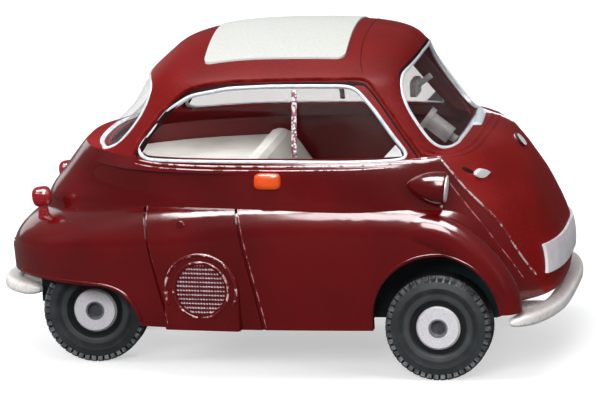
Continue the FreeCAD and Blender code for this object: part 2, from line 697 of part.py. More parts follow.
def bound_profile(body, points):
    """Closed sketch of straight lines on the XZ plane, each corner tied to the sheet."""
    plane = [f for f in body.Origin.OriginFeatures if f.Role == "XZ_Plane"][0]
    sketch = body.newObject("Sketcher::SketchObject", body.Name + "Profile")
    sketch.AttachmentSupport = [(plane, "")]
    sketch.MapMode = "FlatFace"
    values = [(evaluate(x), evaluate(y)) for x, y in points]
    count = len(points)
    for k in range(count):
        a, b = values[k], values[(k + 1) % count]
        sketch.addGeometry(Part.LineSegment(Vector(a[0], a[1], 0), Vector(b[0], b[1], 0)), False)
    for k in range(count):
        sketch.addConstraint(Sketcher.Constraint("Coincident", k, 2, (k + 1) % count, 1))
    for k, (x, y) in enumerate(points):
        for kind, text, axis in (("DistanceX", x, -2), ("DistanceY", y, -1)):
            if text == "0":
                sketch.addConstraint(Sketcher.Constraint("PointOnObject", k, 1, axis))
            else:
                index = sketch.addConstraint(
                    Sketcher.Constraint(kind, -1, 1, k, 1, evaluate(text)))
                sketch.setExpression("Constraints[%d]" % index, text)
    return sketch


def turned(label, points):
    """Body turned about its own Z axis."""
    body = doc.addObject("PartDesign::Body", "".join(word.capitalize() for word in label.split("_")))
    sketch = bound_profile(body, points)
    turn = body.newObject("PartDesign::Revolution", body.Name + "Turn")
    turn.Profile = sketch
    turn.ReferenceAxis = (sketch, ["V_Axis"])
    turn.Angle = 360
    body.Tip = turn
    sketch.Visibility = False
    return keep(body, label)


# Tyres and hubs: local Z runs outward from the car, zero at the wheel's inner face.
TYRE_POINTS = [
    ("Sizes.tyre_bore", "0"),
    ("Sizes.tyre_bead_radius", "0"),
    ("Sizes.tyre_radius - Sizes.tyre_shoulder", "Sizes.tyre_shoulder / 4"),
    ("Sizes.tyre_radius", "Sizes.tyre_shoulder"),
    ("Sizes.tyre_radius", "Sizes.tyre_width - Sizes.tyre_shoulder"),
    ("Sizes.tyre_radius - Sizes.tyre_shoulder", "Sizes.tyre_width - Sizes.tyre_shoulder / 4"),
    ("(Sizes.tyre_radius + Sizes.tyre_bead_radius) / 2", "Sizes.tyre_width"),
    ("Sizes.tyre_bead_radius", "Sizes.tyre_width - Sizes.tyre_shoulder / 4"),
    ("Sizes.tyre_bead_radius - Sizes.tyre_shoulder / 4", "Sizes.tyre_width - Sizes.tyre_bead_depth"),
    ("Sizes.tyre_bore", "Sizes.tyre_width - Sizes.tyre_bead_depth"),
]
HUB_POINTS = [
    ("Sizes.axle_radius", "0"),
    ("Sizes.tyre_bore", "0"),
    ("Sizes.tyre_bore", "Sizes.tyre_width - Sizes.tyre_bead_depth"),
    ("Sizes.hub_disc_radius", "Sizes.tyre_width - Sizes.tyre_bead_depth"),
    ("Sizes.hub_disc_radius - Sizes.tyre_shoulder / 4",
     "Sizes.tyre_width - Sizes.tyre_bead_depth + Sizes.hub_disc_rise"),
    ("Sizes.hub_eye_radius", "Sizes.tyre_width - Sizes.tyre_bead_depth + Sizes.hub_disc_rise"),
    ("Sizes.hub_eye_radius", "Sizes.tyre_width - Sizes.tyre_bead_depth - Sizes.hub_eye_depth"),
    ("Sizes.axle_radius", "Sizes.tyre_width - Sizes.tyre_bead_depth - Sizes.hub_eye_depth"),
]
for end in ("front", "rear"):
    for hand, sign, turn in (("right", "-", 90), ("left", "", -90)):
        for kind, points in (("tyre", TYRE_POINTS), ("hub", HUB_POINTS)):
            wheel = turned("%s_%s_%s" % (kind, end, hand), points)
            wheel.Placement = Placement(Vector(0, 0, 0), Rotation(Vector(1, 0, 0), turn))
            wheel.setExpression("Placement.Base.x", WHEEL_PLACES[end])
            wheel.setExpression("Placement.Base.y", "%s(%s - Sizes.tyre_width)" % (sign, WHEEL_FACES[end]))
            wheel.setExpression("Placement.Base.z", "Sizes.tyre_radius")

# Bumpers: a round-edged blade, thinner towards its ends and bent round the body,
# on two stays from the chassis.
BUMPER_MARK_SHARES = [-1.0, -0.88, -0.72, -0.52, -0.26, 0.0, 0.26, 0.52, 0.72, 0.88, 1.0]
THICKNESS_SHARES = [0.62, 0.86, 1.0, 1.0, 1.0, 1.0, 1.0, 1.0, 1.0, 0.86, 0.62]
FRONT_BEND_POWER, REAR_BEND_POWER = 3.4, 2.8


def blade(reach, half, sweep, bottom, power):
    """Blade curved in plan; reach is the middle's outer face."""
    outer_line = [Vector(reach - sweep * abs(mark) ** power, half * mark, bottom)
                  for mark in BUMPER_MARK_SHARES]
    outer_edge = Part.BSplineCurve()
    outer_edge.interpolate(Points=outer_line)
    inner_line = []
    for point, share in zip(outer_line, THICKNESS_SHARES):
        along = outer_edge.tangent(outer_edge.parameter(point))[0]
        inner_line.append(point + Vector(-along.y, along.x, 0) * (size("bumper_thickness") * share))
    inner_edge = Part.BSplineCurve()
    inner_edge.interpolate(Points=inner_line)
    wire = Part.Wire([
        outer_edge.toShape(), Part.LineSegment(outer_line[-1], inner_line[-1]).toShape(),
        inner_edge.toShape(), Part.LineSegment(inner_line[0], outer_line[0]).toShape()])
    solid = Part.Face(wire).extrude(Vector(0, 0, size("bumper_depth")))
    long_edges = [e for e in solid.Edges if e.Length > half]
    return solid.makeFillet(size("bumper_round"), long_edges)


def stays(start, reach, place, bottom):
    middle = reach - size("bumper_thickness") / 2
    return [box(start, middle, side * place - size("stay_width") / 2, side * place + size("stay_width") / 2,
                bottom, bottom + size("stay_thickness")) for side in (-1, 1)]


doc.recompute()
chassis_shape = chassis_fit.Shape
front_bottom = size("fender_foot_height") - size("lining_gap") - size("bumper_depth")
stay_lift = (size("bumper_depth") - size("stay_thickness")) / 2
front_bumper = blade(front_reach, size("front_bumper_half_width"), size("front_bumper_sweep"),
                     front_bottom, FRONT_BEND_POWER)
front_bumper = front_bumper.fuse(stays(
    size("spine_front") - wall, front_reach, size("front_stay_place"), front_bottom + stay_lift))
feature("front_bumper", front_bumper.cut(chassis_shape))
rear_bumper = blade(rear_reach, size("rear_bumper_half_width"), size("rear_bumper_sweep"),
                    size("rear_bumper_bottom"), REAR_BEND_POWER)
rear_bumper = rear_bumper.fuse(stays(
    size("tail_spine_rear") - wall, rear_reach, size("rear_stay_place"), size("rear_bumper_bottom") + stay_lift))
feature("rear_bumper", rear_bumper.mirror(Vector(0, 0, 0), Vector(1, 0, 0)).cut(chassis_shape))

# Headlamps: an egg-shaped pod on each front corner, with a flat lens in its mouth.
POD_SHARES = [(0.0, 0.0), (0.04, 0.28), (0.16, 0.60), (0.36, 0.88), (0.60, 1.0), (0.82, 0.95), (1.0, 0.78)]
HEADLAMP_PLACE_SHARES = (0.641, 0.901, 0.861)
pod_length, pod_radius = size("headlamp_length"), size("headlamp_radius")
mouth = pod_radius * POD_SHARES[-1][1]
pod_curve = Part.BSplineCurve()
pod_curve.interpolate(Points=[Vector(pod_length * (along - 1), 0, pod_radius * out) for along, out in POD_SHARES])
pod = Part.Face(Part.Wire([
    pod_curve.toShape(),
    Part.makePolygon([
        Vector(0, 0, mouth), Vector(0, 0, mouth - size("headlamp_rim")),
        Vector(-size("lens_thickness"), 0, mouth - size("headlamp_rim")),
        Vector(-size("lens_thickness"), 0, 0), Vector(-pod_length, 0, 0)]),
])).revolve(Vector(0, 0, 0), Vector(1, 0, 0), 360)
lens = Part.makeCylinder(mouth - size("headlamp_rim"), size("lens_thickness"),
                         Vector(-size("lens_thickness"), 0, 0), Vector(1, 0, 0))
pod_placement = Placement(
    Vector(size("nose_reach") * HEADLAMP_PLACE_SHARES[0], -size("body_half_width") * HEADLAMP_PLACE_SHARES[1],
           size("deck_height") * HEADLAMP_PLACE_SHARES[2]),
    Rotation(Vector(0, 1, 0), size("headlamp_tilt")))
pod.Placement = pod_placement
lens.Placement = pod_placement
both_sides("headlamp", pod.cut(painted))
both_sides("headlamp_lens", lens.cut(painted))

# Tail lamps: a short round lens on a stalk that stands on the rear fender.
TAIL_LAMP_SHARES = (-0.860, -0.384, 0.45)
stalk_foot = on_body(TAIL_LAMP_SHARES, Vector(0, 0, 1))
lamp_centre = stalk_foot + Vector(0, 0, size("tail_lamp_rise") + size("tail_lamp_radius"))
tail_lens = Part.makeCylinder(size("tail_lamp_radius"), size("tail_lamp_length"),
                              lamp_centre - Vector(size("tail_lamp_length") / 2, 0, 0), Vector(1, 0, 0))
lens_ends = [e for e in tail_lens.Edges if e.BoundBox.XLength < size("tail_lamp_edge")]
tail_lens = tail_lens.makeChamfer(size("tail_lamp_edge"), lens_ends)
stalk = Part.makeCylinder(size("tail_stalk_radius"), size("tail_lamp_rise") + size("tail_lamp_radius") + wall,
                          stalk_foot - Vector(0, 0, wall), Vector(0, 0, 1))
both_sides("tail_lamp", tail_lens.fuse(stalk).cut(painted))

# Side indicators.
INDICATOR_SHARES = (0.0, 0.0, 0.892)
indicator_seat = on_body(INDICATOR_SHARES, Vector(0, -1, 0))
indicator_face = indicator_seat.y - size("indicator_rise")
indicator = box(indicator_seat.x - size("indicator_length") / 2, indicator_seat.x + size("indicator_length") / 2,
                indicator_face, indicator_seat.y + wall,
                indicator_seat.z - size("indicator_height") / 2, indicator_seat.z + size("indicator_height") / 2)
front_rim = [e for e in indicator.Edges if e.BoundBox.YMax < indicator_seat.y]
indicator = indicator.makeChamfer(size("indicator_edge"), front_rim)
both_sides("indicator", indicator.cut(painted))

# Blank front plate, following the nose.
plate_band = deck(size("plate_rise")).cut(deck())
plate_block = box(size("widest_place"), long_front, -size("plate_half_width"), size("plate_half_width"),
                  size("plate_bottom"), size("plate_bottom") + size("plate_depth"))
feature("front_plate", plate_band.common(plate_block))

# Door handle: a drop-shaped plate that stands on the door.
HANDLE_OUTLINE_SHARES = [
    (-0.5, 0.0), (-0.42, 0.24), (-0.24, 0.42), (0.0, 0.5), (0.2, 0.4), (0.36, 0.2), (0.5, 0.0),
    (0.36, -0.2), (0.2, -0.4), (0.0, -0.5), (-0.24, -0.42), (-0.42, -0.24),
]
HANDLE_SHARES = (0.505, -0.314, 0.885)
turn = math.radians(size("handle_turn"))
handle_out = Vector(math.sin(turn), -math.cos(turn), 0)
handle_seat = on_body(HANDLE_SHARES, handle_out)
handle = closed([Vector(size("handle_length") * a, 0, size("handle_depth") * b)
                 for a, b in HANDLE_OUTLINE_SHARES]).extrude(Vector(0, -size("handle_rise") - wall, 0))
handle.Placement = Placement(handle_seat - handle_out * wall, Rotation(Vector(0, 0, 1), size("handle_turn")))
feature("door_handle", handle.cut(painted))

# Blank badge high on the door.
BADGE_SHARES = (0.75, 0.0, 0.86)
badge_tilt = math.radians(size("badge_tilt"))
badge_out = Vector(math.cos(badge_tilt), 0, math.sin(badge_tilt))
badge_seat = on_body(BADGE_SHARES, badge_out)
badge = Part.makeCylinder(size("badge_radius"), 2 * wall, badge_seat - badge_out * wall, badge_out)
feature("badge", badge.common(deck(size("badge_rise")).cut(deck())))

# Lock cap on the side and the round boss on the tail.
LOCK_SHARES = (-0.308, 0.0, 0.700)
lock_seat = on_body(LOCK_SHARES, Vector(0, -1, 0))
lock_cap = Part.makeCylinder(size("lock_cap_radius"), size("lock_cap_rise") + wall,
                             lock_seat - Vector(0, size("lock_cap_rise"), 0), Vector(0, 1, 0))
feature("lock_cap", lock_cap.cut(painted))
TAIL_BOSS_SHARES = (-0.5, 0.0, 0.46)
tail_boss_seat = on_body(TAIL_BOSS_SHARES, Vector(-1, 0, 0))
tail_boss = Part.makeCylinder(size("tail_boss_radius"), size("tail_boss_rise") + wall,
                              tail_boss_seat - Vector(size("tail_boss_rise"), 0, 0), Vector(1, 0, 0))
feature("tail_boss", tail_boss.cut(painted))

# Vent grilles: a disc with level slats.
grille = Part.makeCylinder(size("vent_grille_radius"), size("vent_grille_thickness"),
                           Vector(0, size("vent_recess_depth") - size("vent_grille_thickness"), boss_top),
                           Vector(0, 1, 0))
slat_back = size("vent_recess_depth") - size("vent_grille_thickness")
slats = []
slat_rows = int(size("vent_grille_radius") / size("vent_slat_pitch"))
for k in range(-slat_rows, slat_rows + 1):
    level = k * size("vent_slat_pitch")
    half = math.sqrt(max(size("vent_grille_radius") ** 2 - (abs(level) + size("vent_slat_width")) ** 2, 0))
    if half > size("vent_slat_width"):
        slats.append(box(-half, half, slat_back - size("vent_slat_depth"), slat_back,
                         boss_top + level - size("vent_slat_width") / 2,
                         boss_top + level + size("vent_slat_width") / 2))
grille = grille.fuse(slats)
grille = grille.transformed(vent_placement.toMatrix(), True)
both_sides("vent_grille", grille)

doc.recompute()
bad = [obj.Name for obj in doc.Objects if "Invalid" in obj.State or "Error" in obj.State]
if bad:
    raise RuntimeError("objects not rebuilt: %s" % ", ".join(bad))
os.makedirs("parts", exist_ok=True)
for obj in PARTS:
    shape = obj.Shape
    if shape.isNull() or not shape.isValid() or not shape.Solids:
        raise RuntimeError("bad shape: " + obj.Label)
    shape.exportStep("parts/%s.step" % obj.Label)
    print("%-22s solids %d volume %.3f" % (obj.Label, len(shape.Solids), shape.Volume))
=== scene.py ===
import math

import bpy
import numpy as np
from mathutils import Matrix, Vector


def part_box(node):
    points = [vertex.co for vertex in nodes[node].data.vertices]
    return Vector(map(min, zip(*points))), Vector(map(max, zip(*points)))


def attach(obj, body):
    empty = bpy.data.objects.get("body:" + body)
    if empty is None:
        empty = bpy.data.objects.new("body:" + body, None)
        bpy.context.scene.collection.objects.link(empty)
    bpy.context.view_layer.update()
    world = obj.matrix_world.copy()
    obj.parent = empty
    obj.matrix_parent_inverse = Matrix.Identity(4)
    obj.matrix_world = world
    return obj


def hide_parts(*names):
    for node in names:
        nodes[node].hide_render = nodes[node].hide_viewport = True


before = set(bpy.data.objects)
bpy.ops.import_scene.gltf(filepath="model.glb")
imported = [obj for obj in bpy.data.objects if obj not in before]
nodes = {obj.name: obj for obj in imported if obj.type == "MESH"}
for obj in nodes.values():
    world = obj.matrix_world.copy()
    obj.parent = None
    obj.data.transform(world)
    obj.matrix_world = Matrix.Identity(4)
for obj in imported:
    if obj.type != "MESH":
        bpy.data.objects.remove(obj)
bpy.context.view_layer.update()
mm = 0.001
datum = np.array([0.41, 0.0, 0.0])      # mm, the body drawing's own origin seen from the frame's
mirrorY = np.array([1.0, -1.0, 1.0])
askew = np.array([0.31, 0.17, 0.93])    # lies along nothing on the car, to be crossed with any direction
axisX, axisY, axisZ = np.eye(3)
fromSide, fromAbove = 11.0, 20.0        # mm, where points start before they slide onto the shell
wheelPlaces = {"middle": -0.29, "reach": 8.3, "height": 2.44}    # mm, each axle is reach from the middle


def unit(v):
    # the same direction with length one
    v = np.asarray(v, float)
    return v / np.maximum(np.linalg.norm(v, axis=-1, keepdims=True), 1e-12)


def linked(name, data):
    # a new object in the scene
    holder = bpy.data.objects.new(name, data)
    bpy.context.scene.collection.objects.link(holder)
    return holder


def aimed(name, data, back, place, roll=0.0):
    # a new object whose own z points back and whose x is level, then turned about z by roll
    holder = linked(name, data)
    right = unit(np.cross(axisZ, back))
    up = np.cross(back, right)
    pose = np.eye(4)
    pose[:3] = np.stack([right * math.cos(roll) + up * math.sin(roll),
                         up * math.cos(roll) - right * math.sin(roll), back, place], 1)
    holder.matrix_world = Matrix(pose.tolist())
    return holder


camera = {
    "turn": 10.05,    # degrees round the car towards its front
    "lift": 11.85,    # degrees above the horizon
    "roll": -2.14,
    "distance": 0.2558,    # metres to the aim point
    "aim": (0.00041, 0.0, 0.007),
    "aimPixel": (296.0, 197.2),
    "focal": 5473.0,    # pixels
    "frameSize": (609, 400),
    "clip": (0.01, 5.0),
}


def makeCamera():
    # eye = aim + distance * back; the aim point falls on its pixel by way of the shift
    c = camera
    turn, lift, roll = (math.radians(c[k]) for k in ("turn", "lift", "roll"))
    back = np.array([math.sin(turn) * math.cos(lift), -math.cos(turn) * math.cos(lift), math.sin(lift)])
    data = bpy.data.cameras.new("photoCamera")
    wide, high = c["frameSize"]
    data.lens = c["focal"] / wide * data.sensor_width
    data.shift_x = (wide / 2 - c["aimPixel"][0]) / wide
    data.shift_y = (c["aimPixel"][1] - high / 2) / wide
    data.clip_start, data.clip_end = c["clip"]
    eye = np.array(c["aim"]) + back * c["distance"]
    bpy.context.scene.camera = aimed("photoCamera", data, back, eye, roll)


makeCamera()
print("camera done")


def bothWays(operation):
    # an operator and its reflected form; a sum of one wire alone leaves the other out
    return (lambda wire, other=0.0: wire.sums(operation, wire, other),
            lambda wire, other: wire.sums(operation, other, wire))


class Wire:
    # one output socket; sums and products of wires add Math nodes to its tree
    def __init__(self, tree, socket=None):
        self.tree, self.socket = tree, socket

    def node(self, kind, settings, sockets, out=0):
        # settings first, then a value or a wire for each socket, named by identifier or by name
        made = self.tree.nodes.new(kind)
        for key, value in settings.items():
            setattr(made, key, value)
        known = {s.identifier: s for s in made.inputs}
        for key, value in sockets.items():
            target = known[key] if key in known else made.inputs[key]
            if isinstance(value, Wire):
                self.tree.links.new(value.socket, target)
            else:
                target.default_value = value
        return Wire(self.tree, made.outputs[out])

    def close(self, kind="ShaderNodeOutputMaterial"):
        self.tree.links.new(self.socket, self.tree.nodes.new(kind).inputs[0])

    def sums(self, operation, first, second):
        return self.node("ShaderNodeMath", {"operation": operation}, {"Value": first, "Value_001": second})

    __add__, __radd__ = bothWays("ADD")
    __sub__, __rsub__ = bothWays("SUBTRACT")
    __mul__, __rmul__ = bothWays("MULTIPLY")
    __truediv__, __rtruediv__ = bothWays("DIVIDE")
    least, size, root, wave = (bothWays(word)[0] for word in ("MINIMUM", "ABSOLUTE", "SQRT", "SINE"))

    def near(self, low, high):
        # 1 close to zero, 0 from high on
        return 1.0 - self.size().step(low, high)

    def wheelRing(self):
        # distance in mm from the nearer axle: x folds about the middle of the two
        fold = (self.axis("X") / mm - wheelPlaces["middle"]).size() - wheelPlaces["reach"]
        height = self.axis("Z") / mm - wheelPlaces["height"]
        return (fold * fold + height * height).root()

    def step(self, low, high):
        # smooth step from 0 at low to 1 at high
        return self.node("ShaderNodeMapRange", {"interpolation_type": "SMOOTHSTEP"},
                         {"Value": self, "From Min": low, "From Max": high})

    def mix(self, colourA, colourB):
        # self is the share of colour B
        return self.node("ShaderNodeMix", {"data_type": "RGBA"},
                         {"Factor_Float": self, "A_Color": colourA, "B_Color": colourB}, 2)

    def axis(self, name):
        # the place's x, y or z in metres
        return self.node("ShaderNodeSeparateXYZ", {}, {"Vector": self}, "XYZ".index(name))

    def stripes(self, name, spacing):
        # sine of the place along one axis, a full turn every spacing mm
        return (self.axis(name) * (2 * math.pi / (spacing * mm))).wave()

    def noise(self, perMm, detail=3.0, rough=0.55):
        return self.node("ShaderNodeTexNoise", {},
                         {"Vector": self, "Scale": perMm / mm, "Detail": detail, "Roughness": rough})

    def cells(self, perMm):
        return self.node("ShaderNodeTexVoronoi", {}, {"Vector": self, "Scale": perMm / mm})

    def bump(self, strength, depth):
        return self.node("ShaderNodeBump", {}, {"Height": self, "Strength": strength, "Distance": depth * mm})


def rgb(red, green, blue):
    # an sRGB colour of 0 to 255 as linear light
    shares = [c / 255 for c in (red, green, blue)]
    return tuple(s / 12.92 if s <= 0.04045 else ((s + 0.055) / 1.055) ** 2.4 for s in shares) + (1.0,)


def emptyTree(owner):
    # a cleared node tree, as a wire to start from
    owner.use_nodes = True
    owner.node_tree.nodes.clear()
    return Wire(owner.node_tree)


def makeFinish(name, fixed, paint):
    # fixed: numbers on the shader's own sockets; paint(place) gives the sockets that vary
    material = bpy.data.materials.new(name)
    start = emptyTree(material)
    place = start.node("ShaderNodeTexCoord", {}, {}, "Object")
    start.node("ShaderNodeBsdfPrincipled", {}, {**fixed, **paint(place)}).close()
    return material


clearWall = {
    "tone": (150, 156, 160), "haze": (120, 126, 130), "through": (0.875, 0.865, 0.86, 1.0),
    "least": 0.004, "hazeShare": 0.006, "glanceShare": 0.3, "blend": 0.35, "metal": 0.35,
}


def makeClear(name):
    # clear wall: light passes straight through; gloss share = glance * facing^3 + haze + least
    g = clearWall
    material = bpy.data.materials.new(name)
    start = emptyTree(material)
    place = start.node("ShaderNodeTexCoord", {}, {}, "Object")
    facing = start.node("ShaderNodeLayerWeight", {}, {"Blend": g["blend"]}, "Facing")
    haze = place.noise(0.5, 2.0).step(0.35, 0.75)
    wall = start.node("ShaderNodeBsdfPrincipled", {}, {
        "Base Color": haze.mix(rgb(*g["tone"]), rgb(*g["haze"])), "Metallic": g["metal"],
        "Roughness": haze * 0.06 + 0.03, "Normal": place.noise(0.4, 1.0).bump(0.04, 0.05)})
    clear = start.node("ShaderNodeBsdfTransparent", {}, {"Color": g["through"]})
    share = (facing * facing * facing * g["glanceShare"] + haze * g["hazeShare"] + g["least"]).least(1.0)
    start.node("ShaderNodeMixShader", {}, {"Fac": share, "Shader": clear, "Shader_001": wall}).close()
    return material


redPaint = {"deep": rgb(85, 5, 8), "warm": rgb(104, 8, 11), "dust": rgb(136, 44, 43)}


def paintRed(place):
    # gloss red moulding: slow tone changes, faint orange peel, tiny pale specks
    tone = place.noise(0.16, 2.0).step(0.35, 0.68)
    specks = place.noise(7.0, 1.0).step(0.74, 0.8)
    colour = (specks * 0.35).mix(tone.mix(redPaint["deep"], redPaint["warm"]), redPaint["dust"])
    return {"Base Color": colour, "Roughness": place.noise(0.8, 2.0) * 0.08 + 0.13,
            "Normal": place.noise(2.6, 2.0).bump(0.12, 0.02)}


satinPaint = {"deep": rgb(108, 11, 12), "warm": rgb(127, 17, 16), "pale": rgb(155, 42, 37)}


def paintSatin(place):
    # satin red moulding: fine powdery grain all over
    tone = place.noise(0.2, 2.0).step(0.35, 0.7)
    grain = place.noise(11.0, 2.0, 0.7)
    base = tone.mix(satinPaint["deep"], satinPaint["warm"])
    return {"Base Color": (grain.step(0.52, 0.74) * 0.5).mix(base, satinPaint["pale"]),
            "Roughness": grain * 0.2 + 0.38, "Normal": grain.bump(0.18, 0.02)}


interiorPaint = {"pale": rgb(233, 235, 231), "cloud": rgb(215, 217, 211)}


def paintInterior(place):
    # off-white tub with slow clouds and a fine grain
    grain = place.noise(7.0, 2.0)
    colour = place.noise(0.5, 3.0).step(0.35, 0.7).mix(interiorPaint["pale"], interiorPaint["cloud"])
    return {"Base Color": colour, "Roughness": grain * 0.15 + 0.42, "Normal": grain.bump(0.1, 0.02)}


tyrePaint = {"base": rgb(30, 34, 36), "paleWearAndGlint": rgb(78, 82, 84), "dark": rgb(12, 13, 14), "bead": 1.46}


def paintTyre(place):
    # dark slate moulding, paler in worn patches; painted light and shade in rings round the axle: a painted sheen
    # on the bead ring and towards the shoulder, painted shade on the tread, and nearly black in the recess by the
    # wheel disc, partly the rim's own dark grey and partly painted shadow
    g = tyrePaint
    ring = place.wheelRing()
    rub = place.noise(1.1, 4.0, 0.6).step(0.4, 0.78)
    grain = place.noise(10.0, 2.0)
    bead = (ring - g["bead"]).near(0.05, 0.2)
    # painted shadow: the recess by the wheel disc drawn nearly black
    gap = 1.0 - ring.step(1.16, 1.34)
    # painted sheen: the bead ring and the outer side wall drawn paler, besides the worn patches
    tone = (rub * 0.35 + bead * 0.5 + ring.step(1.7, 2.0) * 0.25).least(1.0)
    # painted shade: the tread drawn darker, added to the recess's painted shadow
    dark = (gap + ring.step(2.16, 2.24) * 0.85).least(1.0)
    return {"Base Color": dark.mix(tone.mix(g["base"], g["paleWearAndGlint"]), g["dark"]), "Roughness": grain * 0.2 + 0.36,
            "Normal": (bead * 0.5 + grain * 0.15).bump(0.5, 0.06)}


def paintSilver(pale, dark, wear):
    def paint(place):
        # brushed-on silver: flakes, thin worn patches
        flakes = place.cells(9.0)
        worn = place.noise(1.6, 4.0, 0.65).step(0.62 - wear, 0.7)
        return {"Base Color": worn.mix(rgb(*pale), rgb(*dark)), "Metallic": flakes * 0.25 + 0.25,
                "Roughness": flakes * 0.2 + 0.28, "Normal": place.noise(9.0).bump(0.12, 0.02)}
    return paint


hubPaint = {"pale": rgb(242, 240, 244), "flake": rgb(218, 216, 222), "rim": rgb(70, 66, 70),
            "cap": rgb(84, 86, 90), "outside": rgb(16, 17, 18)}


def paintHub(place):
    # silver disc, dark cap in the middle with a ring round it; outside the disc, in the recess by the tyre, nearly
    # black, partly the rim's own dark grey and partly painted shadow
    g = hubPaint
    ring = place.wheelRing()
    flakes = place.cells(12.0)
    # painted shadow: the recess beyond the disc drawn nearly black
    outside = ring.step(0.985, 1.03)
    cap = 1.0 - ring.step(0.34, 0.38)
    rim = (ring - 0.4).near(0.03, 0.06)
    disc = cap.mix((rim * 0.8).mix(flakes.mix(g["pale"], g["flake"]), g["rim"]), g["cap"])
    return {"Base Color": outside.mix(disc, g["outside"]), "Metallic": 0.1 - outside * 0.1,
            "Roughness": flakes * 0.15 + 0.32, "Normal": (rim * 0.6 + flakes * 0.1).bump(0.4, 0.04)}


badgePaint = {"height": 9.735, "halfWidth": 0.37, "halfHeight": 0.3, "pale": rgb(246, 247, 250),
              "outline": rgb(58, 20, 24)}


def paintBadge(place):
    # blank silver oval, dark where (y / half width)^2 + (z / half height)^2 nears 1
    g = badgePaint
    across = place.axis("Y") / (g["halfWidth"] * mm)
    along = (place.axis("Z") / mm - g["height"]) / g["halfHeight"]
    edge = (across * across + along * along).root().step(0.86, 0.96)
    flakes = place.cells(12.0)
    return {"Base Color": edge.mix(g["pale"], g["outline"]), "Metallic": 0.35 - edge * 0.3,
            "Roughness": flakes * 0.15 + 0.26, "Normal": flakes.bump(0.1, 0.02)}


lampRed = {"deep": rgb(122, 13, 18), "pale": rgb(160, 34, 40), "ribs": 0.16}


def paintClearRed(place):
    # ribbed red lamp cover
    cloud = place.noise(1.5, 2.0)
    return {"Base Color": cloud.step(0.3, 0.7).mix(lampRed["deep"], lampRed["pale"]),
            "Roughness": cloud * 0.1 + 0.14, "Normal": place.stripes("Z", lampRed["ribs"]).bump(0.25, 0.02)}


grillePaint = {"rows": 0.2, "beads": 0.135, "recess": rgb(92, 16, 20), "dots": rgb(244, 222, 228)}


def paintGrille(place):
    # silver dots in rows on the dark red recess
    g = grillePaint
    beads = place.stripes("X", g["beads"])
    lit = (place.stripes("Z", g["rows"]) * 0.6 + beads * 0.35 + place.noise(3.0, 3.0)).step(0.55, 0.95)
    return {"Base Color": lit.mix(g["recess"], g["dots"]), "Metallic": lit * 0.3, "Roughness": 0.42 - lit * 0.12,
            "Normal": beads.bump(0.5, 0.03)}


bumperPaint = {"pale": rgb(250, 247, 245), "cloud": rgb(238, 233, 230), "dark": rgb(132, 122, 122),
               "upperFrom": (3.0, 3.07)}


def paintBumper(place):
    # pale metal paint, greyer and speckled on the front bumper's upper face
    g = bumperPaint
    specks = place.noise(5.0, 3.0, 0.7).step(0.52, 0.66)
    cloud = place.noise(0.8, 2.0).step(0.35, 0.7)
    upper = (place.axis("Z") / mm).step(*g["upperFrom"]) * (place.axis("X") / mm).step(0.0, 1.0)
    return {"Base Color": (specks * 0.3 + upper * 0.22).mix(cloud.mix(g["pale"], g["cloud"]), g["dark"]),
            "Metallic": upper * 0.2 + 0.05, "Roughness": specks * 0.1 + 0.3, "Normal": specks.bump(0.15, 0.02)}


chainPaint = {"bright": rgb(226, 218, 224), "between": rgb(104, 40, 56)}


def paintChain(place):
    # sliding window rail: broken bright specks with red showing between
    specks = place.cells(9.0).step(0.38, 0.56)
    return {"Base Color": specks.mix(chainPaint["bright"], chainPaint["between"]),
            "Roughness": specks * 0.2 + 0.3, "Normal": specks.bump(0.4, 0.03)}


def clouds(noise, edge, first, second, rough, grain, bump, patchy=False, metal=0.0):
    # first colour to second over the stepped noise; roughness = span * noise + least, or by the step if patchy
    def paint(place):
        cloud = place.noise(*noise)
        patches = cloud.step(*edge)
        span, least = rough
        sockets = {"Base Color": patches.mix(rgb(*first), rgb(*second)),
                   "Roughness": (patches if patchy else cloud) * span + least,
                   "Normal": (place.noise(grain) if grain else cloud).bump(*bump)}
        if metal:
            sockets["Metallic"] = patches * metal
        return sockets
    return paint


def paleWearAndGlint(edge, pale):
    # painted highlight: a moulded edge drawn pale in short dashes where light would glint along it
    return clouds((2.2, 3.0, 0.7), edge, (96, 12, 16), pale, (-0.1, 0.3), 6.0, (0.3, 0.03), patchy=True)


